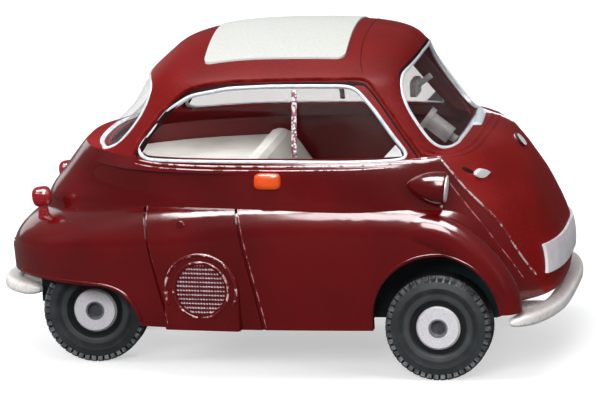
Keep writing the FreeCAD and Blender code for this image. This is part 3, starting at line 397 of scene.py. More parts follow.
looks = {
    # numbers on the shader's own sockets, then the paint. Clouds: noise per mm with its detail and roughness,
    # where the second colour comes in, both colours, roughness as span and least, grain per mm, bump
    "bodyRed": ({"Coat Weight": 0.3, "Coat Roughness": 0.06}, paintRed),
    "cabinRed": ({"Specular IOR Level": 0.08}, paintSatin),
    "roofWhite": ({"Specular IOR Level": 0.2}, clouds(
        (8.0, 3.0, 0.7), (0.4, 0.75), (212, 213, 208), (203, 204, 199), (0.2, 0.46), None, (0.05, 0.01))),
    "interiorWhite": ({}, paintInterior),
    "fittingGrey": ({}, clouds(
        (1.2, 3.0), (0.3, 0.7), (190, 190, 190), (218, 217, 216), (0.2, 0.4), 8.0, (0.1, 0.02))),
    "chassisTeal": ({}, clouds(
        (0.7, 3.0), (0.3, 0.7), (22, 38, 40), (40, 58, 60), (0.2, 0.45), 6.0, (0.15, 0.03))),
    "tyreSlate": ({}, paintTyre),
    "lugSlate": ({}, clouds(
        (2.5, 3.0, 0.6), (0.35, 0.7), (52, 56, 59), (112, 116, 118), (0.1, 0.36), 9.0, (0.15, 0.02), patchy=True)),
    "hubSilver": ({}, paintHub),
    "badgeSilver": ({}, paintBadge),
    "axleSteel": ({}, paintSilver((92, 94, 98), (72, 73, 76), 0.1)),
    "bumperSilver": ({}, paintBumper),
    "trimSilver": ({}, paintSilver((246, 247, 250), (178, 180, 186), 0.05)),
    "clearRed": ({"Coat Weight": 0.6, "Coat Roughness": 0.05}, paintClearRed),
    "orangePaint": ({"Coat Weight": 0.6, "Coat Roughness": 0.06}, clouds(
        (1.4, 3.0), (0.3, 0.7), (228, 68, 16), (238, 92, 34), (0.12, 0.16), 3.0, (0.12, 0.02))),
    "plateWhite": ({}, clouds(
        (0.8, 3.0), (0.3, 0.7), (236, 234, 238), (216, 212, 220), (0.15, 0.3), 7.0, (0.08, 0.02))),
    "windowTrim": ({"Coat Weight": 0.3}, clouds(
        (2.4, 3.0), (0.45, 0.75), (228, 234, 240), (176, 206, 224), (0.2, 0.25), 8.0, (0.1, 0.02))),
    "grilleSilver": ({}, paintGrille),
    "seamSilver": ({}, clouds(
        (2.0, 3.0, 0.7), (0.47, 0.53), (110, 20, 22), (214, 204, 202), (-0.12, 0.4), 6.0, (0.3, 0.03),
        patchy=True, metal=0.4)),
    # painted shadow: near-black red laid as thin strips where grooves and recesses fall into shade
    "channelDark": ({"Specular IOR Level": 0.06}, clouds(
        (2.0, 3.0), (0.35, 0.7), (20, 3, 4), (44, 8, 10), (0.2, 0.6), 6.0, (0.2, 0.03))),
    # painted highlights: pale dashes along the fender crease, the groove edges, the belt lines and the vent rings
    "edgePale": ({}, paleWearAndGlint((0.46, 0.56), (196, 120, 126))),
    "beltPale": ({"Coat Weight": 0.4}, paleWearAndGlint((0.4, 0.5), (236, 206, 206))),
    "ringPale": ({"Coat Weight": 0.4}, paleWearAndGlint((0.53, 0.6), (224, 186, 188))),
    # painted shade for the roof's crease
    "creaseRed": ({"Specular IOR Level": 0.06}, clouds(
        (1.5, 3.0), (0.35, 0.7), (66, 8, 10), (90, 16, 16), (0.2, 0.5), 6.0, (0.2, 0.03))),
    "railRed": ({"Specular IOR Level": 0.12}, clouds(
        (1.8, 4.0, 0.65), (0.38, 0.66), (116, 18, 18), (146, 38, 32), (0.15, 0.34), 7.0, (0.2, 0.03),
        patchy=True)),
    "chainSilver": ({}, paintChain),
}
finishes = {name: makeFinish(name, *look) for name, look in looks.items()}
finishes["clearGlass"] = makeClear("clearGlass")

nodeFinish = {
    # starts of the names of a finish's CAD nodes; where two fit a node, the first one counts
    "clearGlass": ("windscreen", "side_window", "rear_window"), "trimSilver": ("headlamp_lens", "door_handle"),
    "bodyRed": ("lower_body", "lock_cap", "tail_boss", "headlamp"), "cabinRed": "cabin_shell",
    "roofWhite": "roof_panel", "interiorWhite": "interior", "fittingGrey": ("steering_column", "mirror"),
    "chassisTeal": "chassis", "plateWhite": "front_plate", "badgeSilver": "badge", "tyreSlate": "tyre",
    "hubSilver": "hub", "axleSteel": ("front_axle", "rear_axle"), "bumperSilver": ("front_bumper", "rear_bumper"),
    "clearRed": "tail_lamp", "orangePaint": "indicator", "grilleSilver": "vent_grille",
}
for label, holder in nodes.items():
    holder.data.materials.clear()
    look = next(name for name, stems in nodeFinish.items() if label.startswith(stems))
    holder.data.materials.append(finishes[look])
print("finishes done", len(finishes))


def around(count):
    # angles evenly spaced round a full turn
    return np.linspace(0, 2 * math.pi, count, endpoint=False)


def cornersOf(labels):
    # corner points in mm of every triangle of these CAD nodes
    parts = []
    for label in labels:
        mesh = nodes[label].data
        mesh.calc_loop_triangles()
        places = np.empty(len(mesh.vertices) * 3)
        corners = np.empty(len(mesh.loop_triangles) * 3, int)
        mesh.vertices.foreach_get("co", places)
        mesh.loop_triangles.foreach_get("vertices", corners)
        parts.append(places.reshape(-1, 3)[corners.reshape(-1, 3)])
    return np.concatenate(parts) / mm


shells = cornersOf(["lower_body", "cabin_shell"])
landing = {"slack": 1e-6, "leastArea": 1e-9, "batch": 60}


def landOn(corners, points, direction):
    # each point slides along direction to the first triangle it meets:
    # barycentric shares in the plane across the direction, then the depth from those shares
    d = unit(direction)
    a = unit(np.cross(d, askew))
    b = np.cross(d, a)
    flat = np.stack([corners @ a, corners @ b], -1)
    deep = corners @ d
    e1, e2 = flat[:, 1] - flat[:, 0], flat[:, 2] - flat[:, 0]
    area = e1[:, 0] * e2[:, 1] - e1[:, 1] * e2[:, 0]
    ok = np.abs(area) > landing["leastArea"]
    flat, deep, e1, e2, area, kept = flat[ok], deep[ok], e1[ok], e2[ok], area[ok], corners[ok]
    faceNormal = unit(np.cross(kept[:, 1] - kept[:, 0], kept[:, 2] - kept[:, 0]))
    slack = landing["slack"]
    places, normals = [], []
    for some in np.array_split(points, max(1, len(points) // landing["batch"])):
        q = np.stack([some @ a, some @ b], -1)[:, None] - flat[:, 0]
        u = (q[..., 0] * e2[:, 1] - q[..., 1] * e2[:, 0]) / area
        v = (e1[:, 0] * q[..., 1] - e1[:, 1] * q[..., 0]) / area
        inside = (u >= -slack) & (v >= -slack) & (u + v <= 1 + slack)
        far = deep[:, 0] + u * (deep[:, 1] - deep[:, 0]) + v * (deep[:, 2] - deep[:, 0])
        far = np.where(inside & (far > (some @ d)[:, None]), far, np.inf)
        best = far.argmin(1)
        reach = far[np.arange(len(some)), best] - some @ d
        places.append(some + np.where(np.isfinite(reach), reach, np.nan)[:, None] * d)
        n = faceNormal[best]
        normals.append(n * -np.sign(n @ d)[:, None])
    return np.concatenate(places), np.concatenate(normals)


def slideIn(flat, skins=shells):
    # (x, z) points of the drawing, slid in from the car's right
    return landOn(skins, np.insert(flat, 1, -fromSide, axis=1) + datum, axisY)


def slideDown(flat, skins=shells):
    # (x, y) points of the drawing, dropped from above
    return landOn(skins, np.insert(flat, 2, fromAbove, axis=1) + datum, -axisZ)


def bridged(places, closed):
    # a straight run across each gap where a line missed the shell
    marks = np.arange(len(places))
    good = np.isfinite(places[:, 0])
    period = len(places) if closed else None
    return np.stack([np.interp(marks, marks[good], places[good, k], period=period) for k in range(3)], 1)


def smoothed(values, reach, closed):
    # weighted mean over neighbours, weights from a bell curve
    steps = np.arange(-math.ceil(3 * reach), math.ceil(3 * reach) + 1)
    weights = np.exp(-0.5 * (steps / reach) ** 2)
    weights /= weights.sum()
    count = len(values)
    picks = np.arange(count)[:, None] + steps
    picks = picks % count if closed else np.clip(picks, 0, count - 1)
    return np.einsum("k,nkc->nc", weights, values[picks])


def resampled(points, count, closed):
    # count points evenly spaced by length along the polyline
    points = np.asarray(points, float)
    if closed:
        points = np.vstack([points, points[:1]])
    run = np.concatenate([[0], np.cumsum(np.linalg.norm(np.diff(points, axis=0), axis=1))])
    marks = np.linspace(0, run[-1], count, endpoint=not closed)
    return np.stack([np.interp(marks, run, points[:, k]) for k in range(points.shape[1])], 1)


def curveThrough(points, count):
    # Catmull-Rom curve through the points, then even spacing
    p = np.asarray(points, float)
    p = np.vstack([2 * p[0] - p[1], p, 2 * p[-1] - p[-2]])
    t = np.linspace(0, 1, 16, endpoint=False)[None, :, None]
    a, b, c, d = (p[k:len(p) - 3 + k][:, None, :] for k in range(4))
    spans = 0.5 * (2 * b + (c - a) * t + (2 * a - 5 * b + 4 * c - d) * t ** 2 + (3 * b - a - 3 * c + d) * t ** 3)
    return resampled(np.vstack([spans.reshape(-1, p.shape[1]), p[-2:-1]]), count, False)


def gridFaces(rows, columns, closed=False):
    # quads between rows of points that each run round; the last row meets the first, or both ends get a face
    i, j = np.arange(rows if closed else rows - 1)[:, None], np.arange(columns)
    low, high, j2 = i * columns, (i + 1) % rows * columns, (j + 1) % columns
    quads = np.stack([low + j, low + j2, high + j2, high + j], -1).reshape(-1, 4).tolist()
    ends = [list(range(columns)), [rows * columns - 1 - k for k in range(columns)]]
    return quads if closed else quads + ends


def joined(*forms):
    # several closed forms as one list of corners and faces
    corners, faces, start = [], [], 0
    for places, quads in forms:
        corners.append(places)
        faces += [[k + start for k in q] for q in quads]
        start += len(places)
    return np.concatenate(corners), faces


def makePiece(name, places, faces, finish, slot, body="car", sharpAngle=40, stands=None):
    # places in mm; the faces are turned round if the sum of p0 . (p1 x p2) over their triangles is negative
    mesh = bpy.data.meshes.new(name)
    t = places[np.array([[f[0], f[k], f[k + 1]] for f in faces for k in range(1, len(f) - 1)])]
    if np.einsum("nc,nc->n", t[:, 0], np.cross(t[:, 1], t[:, 2])).sum() < 0:
        faces = [list(reversed(f)) for f in faces]
    mesh.from_pydata((places * mm).tolist(), [], faces)
    mesh.materials.append(finishes[finish])
    mesh.shade_smooth()
    mesh.set_sharp_from_angle(angle=math.radians(sharpAngle))
    piece = linked(name, mesh)
    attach(piece, body)
    if stands:
        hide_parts(stands)


def makePair(name, places, faces, finish, slot, sharpAngle=40, stands=None):
    # the piece on the car's right and its mirror image on the left
    for word, flip in (("Right", 1.0), ("Left", mirrorY)):
        node = stands + "_" + word.lower() if stands else None
        makePiece(name + word, places * flip, faces, finish, slot, sharpAngle=sharpAngle, stands=node)


def sweep(path, normals, profile, closed, scale=1.0):
    # profile (across, up) carried along the path: point + side * across * scale + normal * up * scale
    ahead = np.roll(path, -1, 0) - np.roll(path, 1, 0)
    if not closed:
        ahead[0], ahead[-1] = path[1] - path[0], path[-1] - path[-2]
    ahead = unit(ahead)
    normals = unit(normals - ahead * np.einsum("nc,nc->n", normals, ahead)[:, None])
    side = np.cross(ahead, normals)
    scale = np.broadcast_to(scale, len(path))[:, None, None]
    grid = path[:, None] + side[:, None] * (profile[:, :1] * scale) + normals[:, None] * (profile[:, 1:] * scale)
    return grid.reshape(-1, 3), gridFaces(len(path), len(profile), closed)


def roundedTop(width, height, sink):
    # half ellipse above the surface and a flat foot sunk below it
    angle = np.linspace(0, math.pi, 9)
    top = np.stack([np.cos(angle) * width / 2, np.sin(angle) * height], 1)
    return np.vstack([top, [[-width / 2, -sink], [width / 2, -sink]]])


def taper(count, share, least):
    # width share along an open strip: least + (1 - least) * a quarter circle over each end
    along = np.linspace(0, 1, count)
    near = np.clip(np.minimum(along, 1 - along) / share, 0, 1)
    return least + (1 - least) * np.sqrt(near * (2 - near))


def roundedSquare(power, columns):
    # unit superellipse |x|^power + |y|^power = 1
    c, s = np.cos(around(columns)), np.sin(around(columns))
    reach = (np.abs(c) ** power + np.abs(s) ** power) ** (-1 / power)
    return np.stack([reach * c, reach * s], 1)


def circle(radius, count=28):
    # (cos, sin) of each angle times the radius
    return np.stack([np.cos(around(count)), np.sin(around(count))], 1) * radius


def dome(centre, normal, along, length, width, rise, sink=0.12, power=2.6, crown=2.2, rings=8, columns=40):
    # superellipse outline; height = rise * (1 - share^crown)^(1/crown) over the outline's share
    n = unit(normal)
    a = unit(along - n * np.dot(along, n))
    b = np.cross(n, a)
    outline = roundedSquare(power, columns)
    share = np.sin(np.linspace(math.pi / 2, 0.06, rings))    # closes in a small flat at the top
    high = rise * np.clip(1 - share ** crown, 0, 1) ** (1 / crown)
    share, high = np.append(1.0, share), np.append(-sink, high)
    grid = (centre + a * (share[:, None] * outline[:, 0] * length / 2)[..., None]
            + b * (share[:, None] * outline[:, 1] * width / 2)[..., None] + n * high[:, None, None])
    return grid.reshape(-1, 3), gridFaces(len(share), columns)


def turned(profile, centre, axis, columns=48):
    # closed profile of (radius, along) turned about the axis through centre
    n = unit(axis)
    a = unit(np.cross(n, askew))
    b = np.cross(n, a)
    angle = around(columns)
    ring = a * np.cos(angle)[:, None] + b * np.sin(angle)[:, None]
    grid = centre + ring[:, None] * profile[:, :1] + n * profile[:, 1:]
    return grid.reshape(-1, 3), gridFaces(columns, len(profile), closed=True)


sideGlass = {
    "front": 6.42, "rear": 6.3, "base": 10.18, "rise": 3.2,
    "outline": [(1.0, 0.03), (0.955, 0.0), (0.5, -0.005), (0.0, 0.0), (-0.5, -0.005), (-0.93, -0.02),
                (-0.995, 0.03), (-0.99, 0.1), (-0.93, 0.235), (-0.87, 0.38), (-0.775, 0.63),
                (-0.59, 0.86), (-0.3, 0.975), (0.0, 1.005), (0.35, 1.005), (0.575, 1.0), (0.625, 0.955),
                (0.76, 0.65), (0.9, 0.27)],
}
frontGlass = {
    "low": (8.15, 0, 10.45), "high": (5.9, 0, 13.62), "half": 5.55, "standOff": 6.0, "trimWidth": 1.15,
    "outline": [(0.0, 1.0), (0.76, 1.0), (0.85, 0.95), (0.925, 0.83), (0.965, 0.69), (0.985, 0.555),
                (1.0, 0.37), (1.0, 0.2), (0.97, 0.085), (0.87, 0.0), (0.72, -0.03), (0.0, -0.03)],
}
rearGlass = {
    "base": 10.5, "rise": 2.8, "half": 4.7, "from": -16.0,
    # below the first height the slide begins this much nearer, and no point starts below the second height
    "nearer": (10.5, 6.7, 10.2),
    "outline": [(0.0, 1.0), (0.62, 1.0), (0.84, 0.93), (0.93, 0.78), (0.97, 0.5), (1.0, 0.2),
                (0.99, 0.02), (0.92, -0.09), (0.7, -0.13), (0.0, -0.13)],
}
trim = {"section": (0.145, 0.05, 0.14), "outset": 0.03, "soften": 1.4, "points": 260}


def symmetricOutline(g, rise):
    # both halves of an outline of (across, up) shares, in mm
    shares = g["outline"] + [(-a, b) for a, b in reversed(g["outline"]) if a != 0.0]
    return [(g["half"] * a, rise * b) for a, b in shares]


def landedLoop(flat, axisA, axisB, start, direction, outset=trim["outset"], skins=shells, nearer=None):
    # a closed outline in the plane of two axes, moved outward by outset, slid onto the shells
    loop = smoothed(resampled(flat, trim["points"], True), trim["soften"], True)
    ahead = unit(np.roll(loop, -1, 0) - np.roll(loop, 1, 0))
    out = np.stack([ahead[:, 1], -ahead[:, 0]], 1)
    if np.einsum("nc,nc->n", out, loop - loop.mean(0)).mean() < 0:
        out = -out
    loop = loop + out * outset
    points = start + loop[:, 0:1] * axisA + loop[:, 1:2] * axisB
    if nearer:
        height, step, least = nearer
        points[:, 2] = np.maximum(points[:, 2], least)
        points = points + np.where(points[:, 2:3] < height, step, 0.0) * direction
    places, normals = landOn(skins, points, direction)
    return smoothed(bridged(places, True), 2, True), smoothed(normals, 4, True)


def windscreenLoop(outset=trim["outset"]):
    # the windscreen's outline in its slanting plane, slid back onto the roof, the pillars and the nose
    g = frontGlass
    up = np.subtract(g["high"], g["low"])
    out = unit([up[2], 0, -up[0]])
    start = datum + g["low"] + out * g["standOff"]
    return landedLoop(symmetricOutline(g, np.linalg.norm(up)), axisY, unit(up), start, -out, outset)


def windowTrims():
    # a rounded strip round each window's outline
    section = roundedTop(*trim["section"])
    g = sideGlass
    flat = [((g["front"] if a > 0 else g["rear"]) * a, g["base"] + g["rise"] * b) for a, b in g["outline"]]
    loop = landedLoop(flat, axisX, axisZ, datum - axisY * fromSide, axisY)
    makePair("sideWindowTrim", *sweep(*loop, section, True), "windowTrim", "trim_silver")
    wide = section * [frontGlass["trimWidth"], 1.0]
    makePiece("windscreenTrim", *sweep(*windscreenLoop(), wide, True), "windowTrim", "trim_silver")
    g = rearGlass
    flat = [(a, g["base"] + b) for a, b in symmetricOutline(g, g["rise"])]
    loop = landedLoop(flat, axisY, axisZ, datum + [g["from"], 0, 0], axisX,
                      skins=cornersOf(["cabin_shell", "rear_window"]), nearer=g["nearer"])
    makePiece("rearWindowTrim", *sweep(*loop, section, True), "windowTrim", "trim_silver")


windowTrims()
print("window trims done")


def layStrip(make, name, places, normals, g, slim=1.0):
    # a rounded strip along the places. section: width, height, depth sunk in; ends: taper's share and least
    width = taper(len(places), *g["ends"]) * slim
    make(name, *sweep(places, normals, roundedTop(*g["section"]), False, width), g["finish"], g["slot"])


def shellStrip(name, g, make=makePair, slide=slideIn, skins=shells):
    # a strip slid onto the shells, shift mm beside its line; slim: from begin on the width falls by cut over run
    flat = curveThrough(g["line"], g["count"])
    if "shift" in g:
        ahead = unit(np.gradient(flat, axis=0))
        flat = flat + np.stack([ahead[:, 1], -ahead[:, 0]], 1) * g["shift"]
    places, normals = slide(flat, skins)
    begin, run, cut = g.get("slim", (0.0, 1.0, 0.0))
    slim = 1.0 - cut * np.clip((np.linspace(0, 1, g["count"]) - begin) / run, 0, 1)
    layStrip(make, name, smoothed(bridged(places, False), 1, False), unit(smoothed(normals, 4, False)), g, slim)


gutter = {"count": 160, "ends": (0.04, 0.3), "slot": "cabin_red", "line": [
    (-6.49, 10.16), (-6.2, 10.75), (-5.67, 11.45), (-4.96, 12.28), (-4.23, 12.95), (-3.43, 13.35), (-1.85, 13.58),
    (0.01, 13.65), (1.4, 13.67), (3.0, 13.68), (4.2, 13.66), (4.62, 13.45), (5.29, 12.62), (6.43, 11.02),
    (7.05, 10.16)]}
seam = {"count": 160, "ends": (0.04, 0.3), "finish": "seamSilver", "slot": "trim_silver"}
seamLines = {
    "gutterRail": {**gutter, "section": (0.14, 0.17, 0.1), "finish": "railRed"},
    # painted shadow: a dark flat strip beside the gutter rail
    "gutterChannel": {**gutter, "section": (0.24, 0.02, 0.05), "finish": "channelDark", "shift": 0.18,
                      "slim": (0.7, 0.06, 0.62)},
    "doorSeam": {**seam, "section": (0.1, 0.045, 0.08), "line": [
        (7.8, 10.02), (8.37, 9.33), (8.95, 8.62), (9.97, 7.55), (10.6, 6.66), (11.1, 5.75), (11.55, 4.95),
        (11.86, 4.4)]},
    # painted highlight dashes along the fender's crease
    "fenderSeam": {**seam, "section": (0.05, 0.02, 0.06), "finish": "edgePale", "slot": "body_red", "line": [
        (8.05, 9.23), (8.45, 8.68), (8.94, 8.04), (9.55, 7.24), (10.18, 6.32), (10.81, 5.38), (11.36, 4.39)]},
    "beltSeam": {**seam, "section": (0.09, 0.04, 0.08), "count": 40,
                 "line": [(6.55, 10.13), (7.1, 10.13), (7.78, 10.12)]},
}
for name, look in seamLines.items():
    shellStrip(name, look)

# painted shade of the roof's crease: a thin dark line across the roof, given as (x, y)
roofCrease = {"section": (0.065, 0.012, 0.05), "count": 120, "ends": (0.06, 0.3), "finish": "creaseRed",
              "slot": "cabin_red", "line": [(4.22, -5.25), (4.0, -4.4), (3.9, -3.2), (3.92, -1.5), (3.95, 0.0),
                                            (3.92, 1.5), (3.9, 3.2), (4.0, 4.4), (4.22, 5.25)]}
shellStrip("roofCrease", roofCrease, makePiece, slideDown)

ripple = {"between": (0.0, 10.9), "section": (0.22, 0.035, 0.05), "ends": (0.2, 0.2), "finish": "cabinRed",
          "slot": "cabin_red"}
screenLines = {
    # two ripples of the nose under the windscreen, and a painted shadow strip over its top edge
    "noseRipple1": {**ripple, "outset": 0.42},
    "noseRipple2": {**ripple, "outset": 0.66},
    "browShadow": {**ripple, "outset": 0.17, "between": (13.0, 99.0), "section": (0.17, 0.015, 0.05),
                   "finish": "channelDark"},
}


def makeScreenLines():
    # the stretch of the windscreen's loop, moved outward, that lies between two heights
    for name, g in screenLines.items():
        places, normals = windscreenLoop(g["outset"])
        low, high = g["between"]
        keep = (places[:, 2] > low) & (places[:, 2] < high)
        first = int(np.flatnonzero(keep & ~np.roll(keep, 1))[0])
        run = (first + np.arange(keep.sum())) % len(places)
        layStrip(makePiece, name, places[run], normals[run], g)


makeScreenLines()
print("seams done")


def sideDome(name, g, along, finish, slot, stands=None):
    # a dome where the point (x, z) of the side drawing lands
    places, normals = slideIn([g["place"]])
    makePair(name, *dome(places[0], normals[0], along, **g["shape"]), finish, slot, stands=stands)


# a soft-cornered block with a flat crown
indicator = {"place": (0.0, 9.28), "shape": {"length": 1.24, "width": 0.78, "rise": 0.3, "sink": 0.1,
                                             "power": 4.0, "crown": 3.0, "rings": 10, "columns": 56}}
sideDome("indicatorLens", indicator, axisX, "orangePaint", "lamp_orange", "indicator")

tailLamp = {"centre": (-11.05, -3.03, 7.7), "long": 0.86, "radius": 0.475, "power": 3.4, "lean": 0.06,
            "foot": (-10.98, -3.03, 6.7), "stalk": 0.17, "flare": (1.7, 0.9)}


def tailLamps():
    # a barrel, radius * (1 - share^power)^(1/power) along it, on a round stalk that widens to its foot
    g = tailLamp
    share = np.sin(np.linspace(-math.pi / 2, math.pi / 2, 25) * 0.985)    # stops short of the poles
    swell = (1 - np.abs(share) ** g["power"]) ** (1 / g["power"])
    centre, foot = np.array(g["centre"]), np.array(g["foot"])
    path = centre + np.stack([share * g["long"] / 2, share * 0, share * g["lean"]], 1)
    barrel = sweep(path, np.tile(axisZ, (25, 1)), circle(g["radius"]), False, swell)
    low = np.linspace(0, 1, 12)
    stem = sweep(foot + (centre - foot) * low[:, None], np.tile(axisX, (12, 1)), circle(g["stalk"]), False,
                 g["flare"][0] - g["flare"][1] * low)
    makePair("tailLamp", *joined(barrel, stem), "clearRed", "lamp_red", stands="tail_lamp")


tailLamps()


def strutBox(low, high):
    # six-sided bar between two corners, in mm
    (x0, y0, z0), (x1, y1, z1) = low, high
    places = [(x, y, z) for z in (z0, z1) for x, y in ((x0, y0), (x1, y0), (x1, y1), (x0, y1))]
    return np.array(places), [[0, 3, 2, 1], [4, 5, 6, 7], [0, 1, 5, 4], [1, 2, 6, 5], [2, 3, 7, 6], [3, 0, 4, 7]]


bumpers = {
    # outer: reach of the outer face; bend: how far the ends sweep back; stays: where they start and stand
    "frontBumper": {"outer": 13.1, "half": 7.9, "bend": 1.8, "power": 3.4, "bottom": 2.48, "stays": (10.4, 4.3),
                    "way": 1.0, "node": "front_bumper"},
    "rearBumper": {"outer": 13.92, "half": 3.35, "bend": 2.0, "power": 2.8, "bottom": 2.95, "stays": (11.8, 0.95),
                   "way": -1.0, "node": "rear_bumper"},
}
bumperSection = {"thickness": 0.86, "depth": 0.6, "power": 3.6, "columns": 28, "points": 121, "ends": (0.1, 0.25),
                 "stay": (1.3, 0.3, 0.15)}    # a stay's width, thickness and height over the bar's bottom


def makeBumpers():
    # a soft-cornered bar along x = outer - bend * share^power, y = half * share, with two stays
    s = bumperSection
    wide, thick, lift = s["stay"]
    section = roundedSquare(s["power"], s["columns"]) * [s["thickness"], s["depth"]] / 2
    share, up = np.linspace(-1, 1, s["points"]), np.tile(axisZ, (s["points"], 1))
    for name, g in bumpers.items():
        line = np.stack([g["outer"] - g["bend"] * np.abs(share) ** g["power"], g["half"] * share,
                         np.full(s["points"], g["bottom"] + s["depth"] / 2)], 1)
        ahead = unit(np.gradient(line, axis=0))
        line = line - np.stack([ahead[:, 1], -ahead[:, 0], ahead[:, 2] * 0], 1) * s["thickness"] / 2
        (begin, apart), low = g["stays"], g["bottom"] + lift
        stop = g["outer"] - s["thickness"] / 2
        stays = [strutBox((begin, y - wide / 2, low), (stop, y + wide / 2, low + thick)) for y in (-apart, apart)]
        places, faces = joined(sweep(line, up, section, False, taper(s["points"], *s["ends"])), *stays)
        makePiece(name, places * [g["way"], 1, 1] + datum, faces, "bumperSilver", "bumper", stands=g["node"])


makeBumpers()


def arc(x, z, radius, start, stop, count):
    # centre + radius * (cos, sin) from one angle to another
    return [(x + radius * math.cos(a), z + radius * math.sin(a)) for a in np.linspace(start, stop, count)]


# the belt lines' pale dashes are painted highlights
beltLine = {"count": 140, "ends": (0.12, 0.3), "finish": "beltPale", "slot": "body_red"}
bead = {"count": 140, "ends": (0.04, 0.3), "finish": "bodyRed", "slot": "body_red"}
ring = {**bead, "finish": "ringPale"}
groove = {**bead, "section": (0.05, 0.02, 0.08), "finish": "edgePale"}
bodyLines = {
    # two moulded lines under the side window, beads round the arches and the vent, edges of two grooves; the
    # lines, the vent's beads and the groove edges carry painted highlights
    "beltLineUpper": {**beltLine, "section": (0.075, 0.035, 0.06), "line": [
        (-6.2, 10.02), (-5.2, 9.95), (-3.5, 9.93), (0.0, 9.94), (3.5, 9.97), (6.6, 10.0)]},
    "beltLineLower": {**beltLine, "section": (0.055, 0.035, 0.06), "line": [
        (-6.4, 9.86), (-5.4, 9.78), (-3.5, 9.75), (0.0, 9.76), (3.5, 9.8), (5.8, 9.86)]},
    "archBead": {**bead, "section": (0.1, 0.05, 0.08), "line": arc(7.6, 2.95, 3.02, math.pi, 0.35, 24)},
    "tailBead": {**bead, "section": (0.14, 0.08, 0.08), "line": [
        (-12.5, 4.3), (-11.2, 4.3), (-9.9, 4.3), (-8.6, 4.28), (-7.72, 4.22), (-7.0, 3.92), (-6.5, 3.32),
        (-6.2, 2.62)]},
    "ventRing": {**ring, "section": (0.14, 0.09, 0.08), "line": arc(-3.22, 4.3, 1.66, 3.6, -0.46, 40)},
    "ventInnerRing": {**ring, "section": (0.1, 0.05, 0.08), "line": arc(-3.22, 4.3, 1.3, 4.6, -1.6, 48)},
    "grooveRear": {**groove, "line": [(-5.86, 7.9), (-5.69, 6.66), (-5.31, 4.8), (-4.82, 2.6)]},
    "grooveFront": {**groove, "line": [(-1.4, 7.9), (-1.1, 6.42), (-0.63, 4.33), (-0.25, 2.5)]},
}
windowDivider = {"section": (0.24, 0.04, 0.03), "count": 60, "ends": (0.04, 0.95), "finish": "chainSilver",
                 "slot": "trim_silver", "line": [(1.14, 13.25), (1.16, 12.6), (1.19, 11.5), (1.22, 10.32)]}
ventPane = {"corners": [(5.3, 10.27), (6.1, 10.27), (6.02, 10.52), (5.8, 10.78)], "front": 0.05, "behind": 0.015}
panes = cornersOf(["side_window_right"])


def makeVentPane():
    # a thin plate on the side pane: its outline moved out by one distance and in by the other
    outer, normals = slideIn(ventPane["corners"], panes)
    places = np.concatenate([outer + normals * ventPane["front"], outer - normals * ventPane["behind"]])
    makePair("ventPane", places, gridFaces(2, len(outer)), "fittingGrey", "trim_silver", sharpAngle=30)


for name, look in bodyLines.items():
    shellStrip(name, look)
shellStrip("windowDivider", windowDivider, skins=panes)
makeVentPane()

fitting = {"finish": "windowTrim", "slot": "grey_fittings"}
wiper = {
    # two rounded bars along curves in space
    "wiperFoot": {**fitting, "section": (0.44, 0.13, 0.2), "count": 40, "ends": (0.06, 0.6), "up": [0.5, 0, 1.0],
                  "line": [(8.66, 0.1, 10.4), (8.56, 1.6, 10.44), (8.42, 3.3, 10.46)]},
    "wiperArm": {**fitting, "section": (0.14, 0.09, 0.12), "count": 60, "ends": (0.08, 0.5), "up": [0.2, 0, 1.0],
                 "line": [(8.4, 3.2, 10.52), (8.95, 3.0, 10.36), (9.5, 2.8, 10.24), (9.98, 2.6, 10.05)]},
}
for name, look in wiper.items():
    path = curveThrough(look["line"], look["count"]) + datum
    layStrip(makePiece, name, path, np.tile(look["up"], (len(path), 1)), look)

handleShade = {"line": [(8.68, -5.62), (9.16, -5.36)], "width": 0.22, "rise": 0.02, "sink": 0.05}


def makeHandleShade():
    # painted shade of the hollow beside the grip: a nearly flat dark oval from one end of the line to the other
    g = handleShade
    places, normals = slideDown(g["line"])
    along = places[1] - places[0]
    form = dome(places.mean(0), normals.mean(0), along, np.linalg.norm(along), g["width"], g["rise"], g["sink"])
    makePiece("handleShade", *form, "channelDark", "cabin_red")


makeHandleShade()


def lampAxis(label):
    # centre and axis of a headlamp from its lens: the thin direction of the lens's corners
    corners = cornersOf([label]).reshape(-1, 3)
    centre = (corners.min(0) + corners.max(0)) / 2
    spread = np.linalg.eigh(np.cov((corners - corners.mean(0)).T))[1][:, 0]
    return centre, spread * np.sign(spread[0])


lampRim = {"radius": 0.56, "thick": 0.065, "long": 0.075, "drop": 0.07, "upright": 0.07}
lampGlass = {"rise": 0.09, "sink": 0.06, "power": 2.0, "crown": 2.0}
lampPod = {"length": 1.66, "radius": 0.76, "mouth": 0.62, "lip": 0.1, "power": 0.72, "upright": 0.05}
lampPin = {"place": (7.88, 8.1), "shape": {"length": 0.3, "width": 0.11, "rise": 0.1, "rings": 6, "columns": 20}}


def podForm(centre, axis):
    # egg with its widest place at the mouth: radius * (1 - (1 - t)^2)^power from the tip at t = 0
    g = lampPod
    t = 1 - np.cos(np.linspace(0.03, math.pi / 2, 30))
    lip = np.linspace(0, math.pi / 2, 6)[1:]
    along = np.concatenate([(t - 1) * g["length"] - g["lip"], np.sin(lip) * g["lip"] - g["lip"]])
    radius = np.concatenate([g["radius"] * (1 - (1 - t) ** 2) ** g["power"],
                             g["mouth"] + (g["radius"] - g["mouth"]) * np.cos(lip)])
    path = centre + along[:, None] * unit(axis + axisZ * g["upright"])
    return sweep(path, np.tile(axisZ, (len(path), 1)), circle(1.0, 48), False, radius)


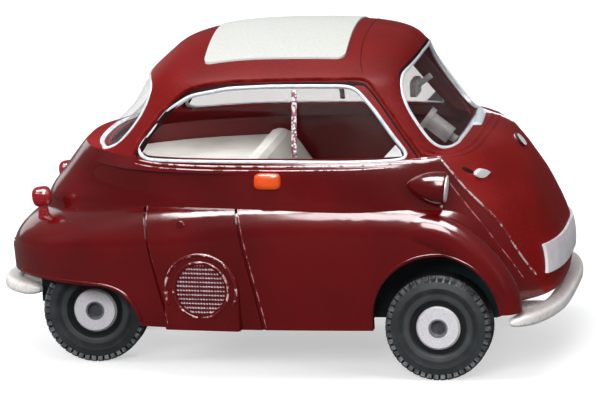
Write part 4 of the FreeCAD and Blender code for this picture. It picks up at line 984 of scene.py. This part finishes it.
def headlamps():
    # pod, rim (a circle's section turned about the axis) and domed glass on each side
    g = lampRim
    for word in ("Right", "Left"):
        label = word.lower()
        centre, axis = lampAxis("headlamp_lens_" + label)
        centre = centre - axisZ * g["drop"]
        makePiece("headlampPod" + word, *podForm(centre, axis), "bodyRed", "body_red", stands="headlamp_" + label)
        axis = unit(axis + axisZ * g["upright"])
        rim = circle(1.0, 16) * [g["thick"], g["long"]] + [g["radius"], 0]
        makePiece("headlampRim" + word, *turned(rim, centre, axis), "trimSilver", "lamp_silver")
        wide = g["radius"] * 2
        glass = dome(centre + axis * 0.02, axis, np.cross(axis, axisZ), wide, wide, **lampGlass)
        makePiece("headlampGlass" + word, *glass, "windowTrim", "lamp_silver", stands="headlamp_lens_" + label)


headlamps()
sideDome("lampPin", lampPin, axisZ, "trimSilver", "lamp_silver")    # small stud under each headlamp
print("fittings done")

lugs = {
    "count": 46, "width": 0.3,
    # corners of a lug's side as radius, depth from the tyre's face, and share of the width
    "side": [(2.428, 0.36, 0.5), (2.428, 0.14, 0.42), (2.34, 0.02, 0.36), (2.12, 0.08, 0.3), (2.14, 0.36, 0.5)],
}


def tyreLugs(label, body, outward):
    # blocks round the outer shoulder: each is a wedge from the tread to the side wall
    low, high = (np.array(c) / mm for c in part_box(label))
    centre = (low + high) / 2
    hub = np.array([centre[0], high[1] if outward > 0 else low[1], centre[2]])
    angle = np.arange(lugs["count"]) * (2 * math.pi / lugs["count"])
    radial = np.stack([np.cos(angle), np.zeros_like(angle), np.sin(angle)], 1)
    onward = np.stack([-np.sin(angle), np.zeros_like(angle), np.cos(angle)], 1)
    places = np.stack([hub + radial * radius - axisY * outward * depth + onward * (way * half * lugs["width"])
                       for way in (-1, 1) for radius, depth, half in lugs["side"]], 1)    # lugs x 10 x 3
    one = [[0, 1, 2, 3, 4], [9, 8, 7, 6, 5]] + [[k, k + 5, (k + 1) % 5 + 5, (k + 1) % 5] for k in range(5)]
    faces = [[k * 10 + c for c in f] for k in range(lugs["count"]) for f in one]
    makePiece("lugs_" + label, places.reshape(-1, 3), faces, "lugSlate", "tyre", body=body, sharpAngle=20)


for end in ("front", "rear"):
    for sideName, outward in (("right", -1), ("left", 1)):
        tyreLugs("tyre_%s_%s" % (end, sideName), end + "_wheels", outward)
print("wheels done")

floorLook = {"half": 1.2, "seen": (0.66, 0.66, 0.67, 1.0), "cloud": (0.64, 0.64, 0.65, 1.0),
             "hidden": (0.11, 0.11, 0.11, 1.0), "glow": 0.52}


def makeFloor():
    # white to the camera with the object's shadow on it, greyer for the light it throws back
    g = floorLook
    half = g["half"]
    mesh = bpy.data.meshes.new("floor")
    mesh.from_pydata([(-half, -half, 0), (half, -half, 0), (half, half, 0), (-half, half, 0)], [], [(0, 1, 2, 3)])
    material = bpy.data.materials.new("floorWhite")
    start = emptyTree(material)
    seen = start.node("ShaderNodeLightPath", {}, {}, "Is Camera Ray")
    grain = start.node("ShaderNodeTexCoord", {}, {}, "Object").noise(0.05, 2.0)
    white = (grain * 0.05).mix(g["seen"], g["cloud"])
    plain = start.node("ShaderNodeBsdfDiffuse", {}, {"Color": seen.mix(g["hidden"], white)})
    glow = start.node("ShaderNodeEmission", {}, {"Color": (1, 1, 1, 1), "Strength": seen * g["glow"]})
    start.node("ShaderNodeAddShader", {}, {"Shader": plain, "Shader_001": glow}).close()
    mesh.materials.append(material)
    linked("floor", mesh)


skyLook = {"sky": 0.22, "horizon": 0.1, "tint": (0.96, 0.98, 1.0, 1.0)}


def makeWorld():
    # white to the camera, a soft sky over a darker horizon for everything else
    g = skyLook
    world = bpy.data.worlds.new("studio")
    start = emptyTree(world)
    seen = start.node("ShaderNodeLightPath", {}, {}, "Is Camera Ray")
    height = start.node("ShaderNodeTexCoord", {}, {}, "Generated").axis("Z")
    strength = height.step(0.0, 0.9) * (g["sky"] - g["horizon"]) + g["horizon"]
    light = start.node("ShaderNodeBackground", {}, {"Color": g["tint"], "Strength": strength})
    white = start.node("ShaderNodeBackground", {}, {"Color": (1.0, 1.0, 1.0, 1.0), "Strength": 1.0})
    both = start.node("ShaderNodeMixShader", {}, {"Fac": seen, "Shader": light, "Shader_001": white})
    both.close("ShaderNodeOutputWorld")
    bpy.context.scene.world = world


middle = (0.0, 0.0, 0.006)
lamps = [
    # name, place, aim, size across and high, watts, seen in gloss alone (or else lights surfaces alone)
    ("topSoft", (0.02, -0.06, 0.3), (0.0, 0.0, 0.0), (0.26, 0.18), 0.36, False),
    ("topStrip", (0.0, -0.05, 0.27), (0.0, -0.01, 0.006), (0.34, 0.15), 3.1, True),
    ("frontSoft", (0.26, -0.16, 0.12), middle, (0.08, 0.1), 0.34, False),
    ("nearSoft", (-0.06, -0.32, 0.16), middle, (0.24, 0.1), 0.82, False),
    ("farSoft", (-0.02, 0.32, 0.16), middle, (0.24, 0.1), 0.45, False),
    ("tailSoft", (-0.32, -0.03, 0.12), middle, (0.12, 0.1), 0.6, False),
    ("tailRim", (-0.145, 0.228, 0.046), middle, (0.1, 0.085), 0.026, True),
    ("ledgeStrip", (0.02, -0.182, 0.2), middle, (0.15, 0.13), 1.0, True),
    ("cabinGlow", (-0.004, -0.001, 0.0129), (-0.004, -0.0008, 0.0), (0.009, 0.006), 0.00062, False),
]


def makeLamps():
    # soft panels that face their aim
    for name, place, aim, (across, high), watts, inGloss in lamps:
        data = bpy.data.lights.new(name, "AREA")
        data.shape, data.size, data.size_y, data.energy = "RECTANGLE", across, high, watts
        holder = aimed(name, data, unit(np.array(place) - np.array(aim)), place)
        holder.visible_glossy, holder.visible_diffuse, holder.visible_camera = inGloss, not inGloss, False


makeFloor()
makeWorld()
makeLamps()
bpy.context.scene.view_settings.view_transform = "Standard"
print("stage done")
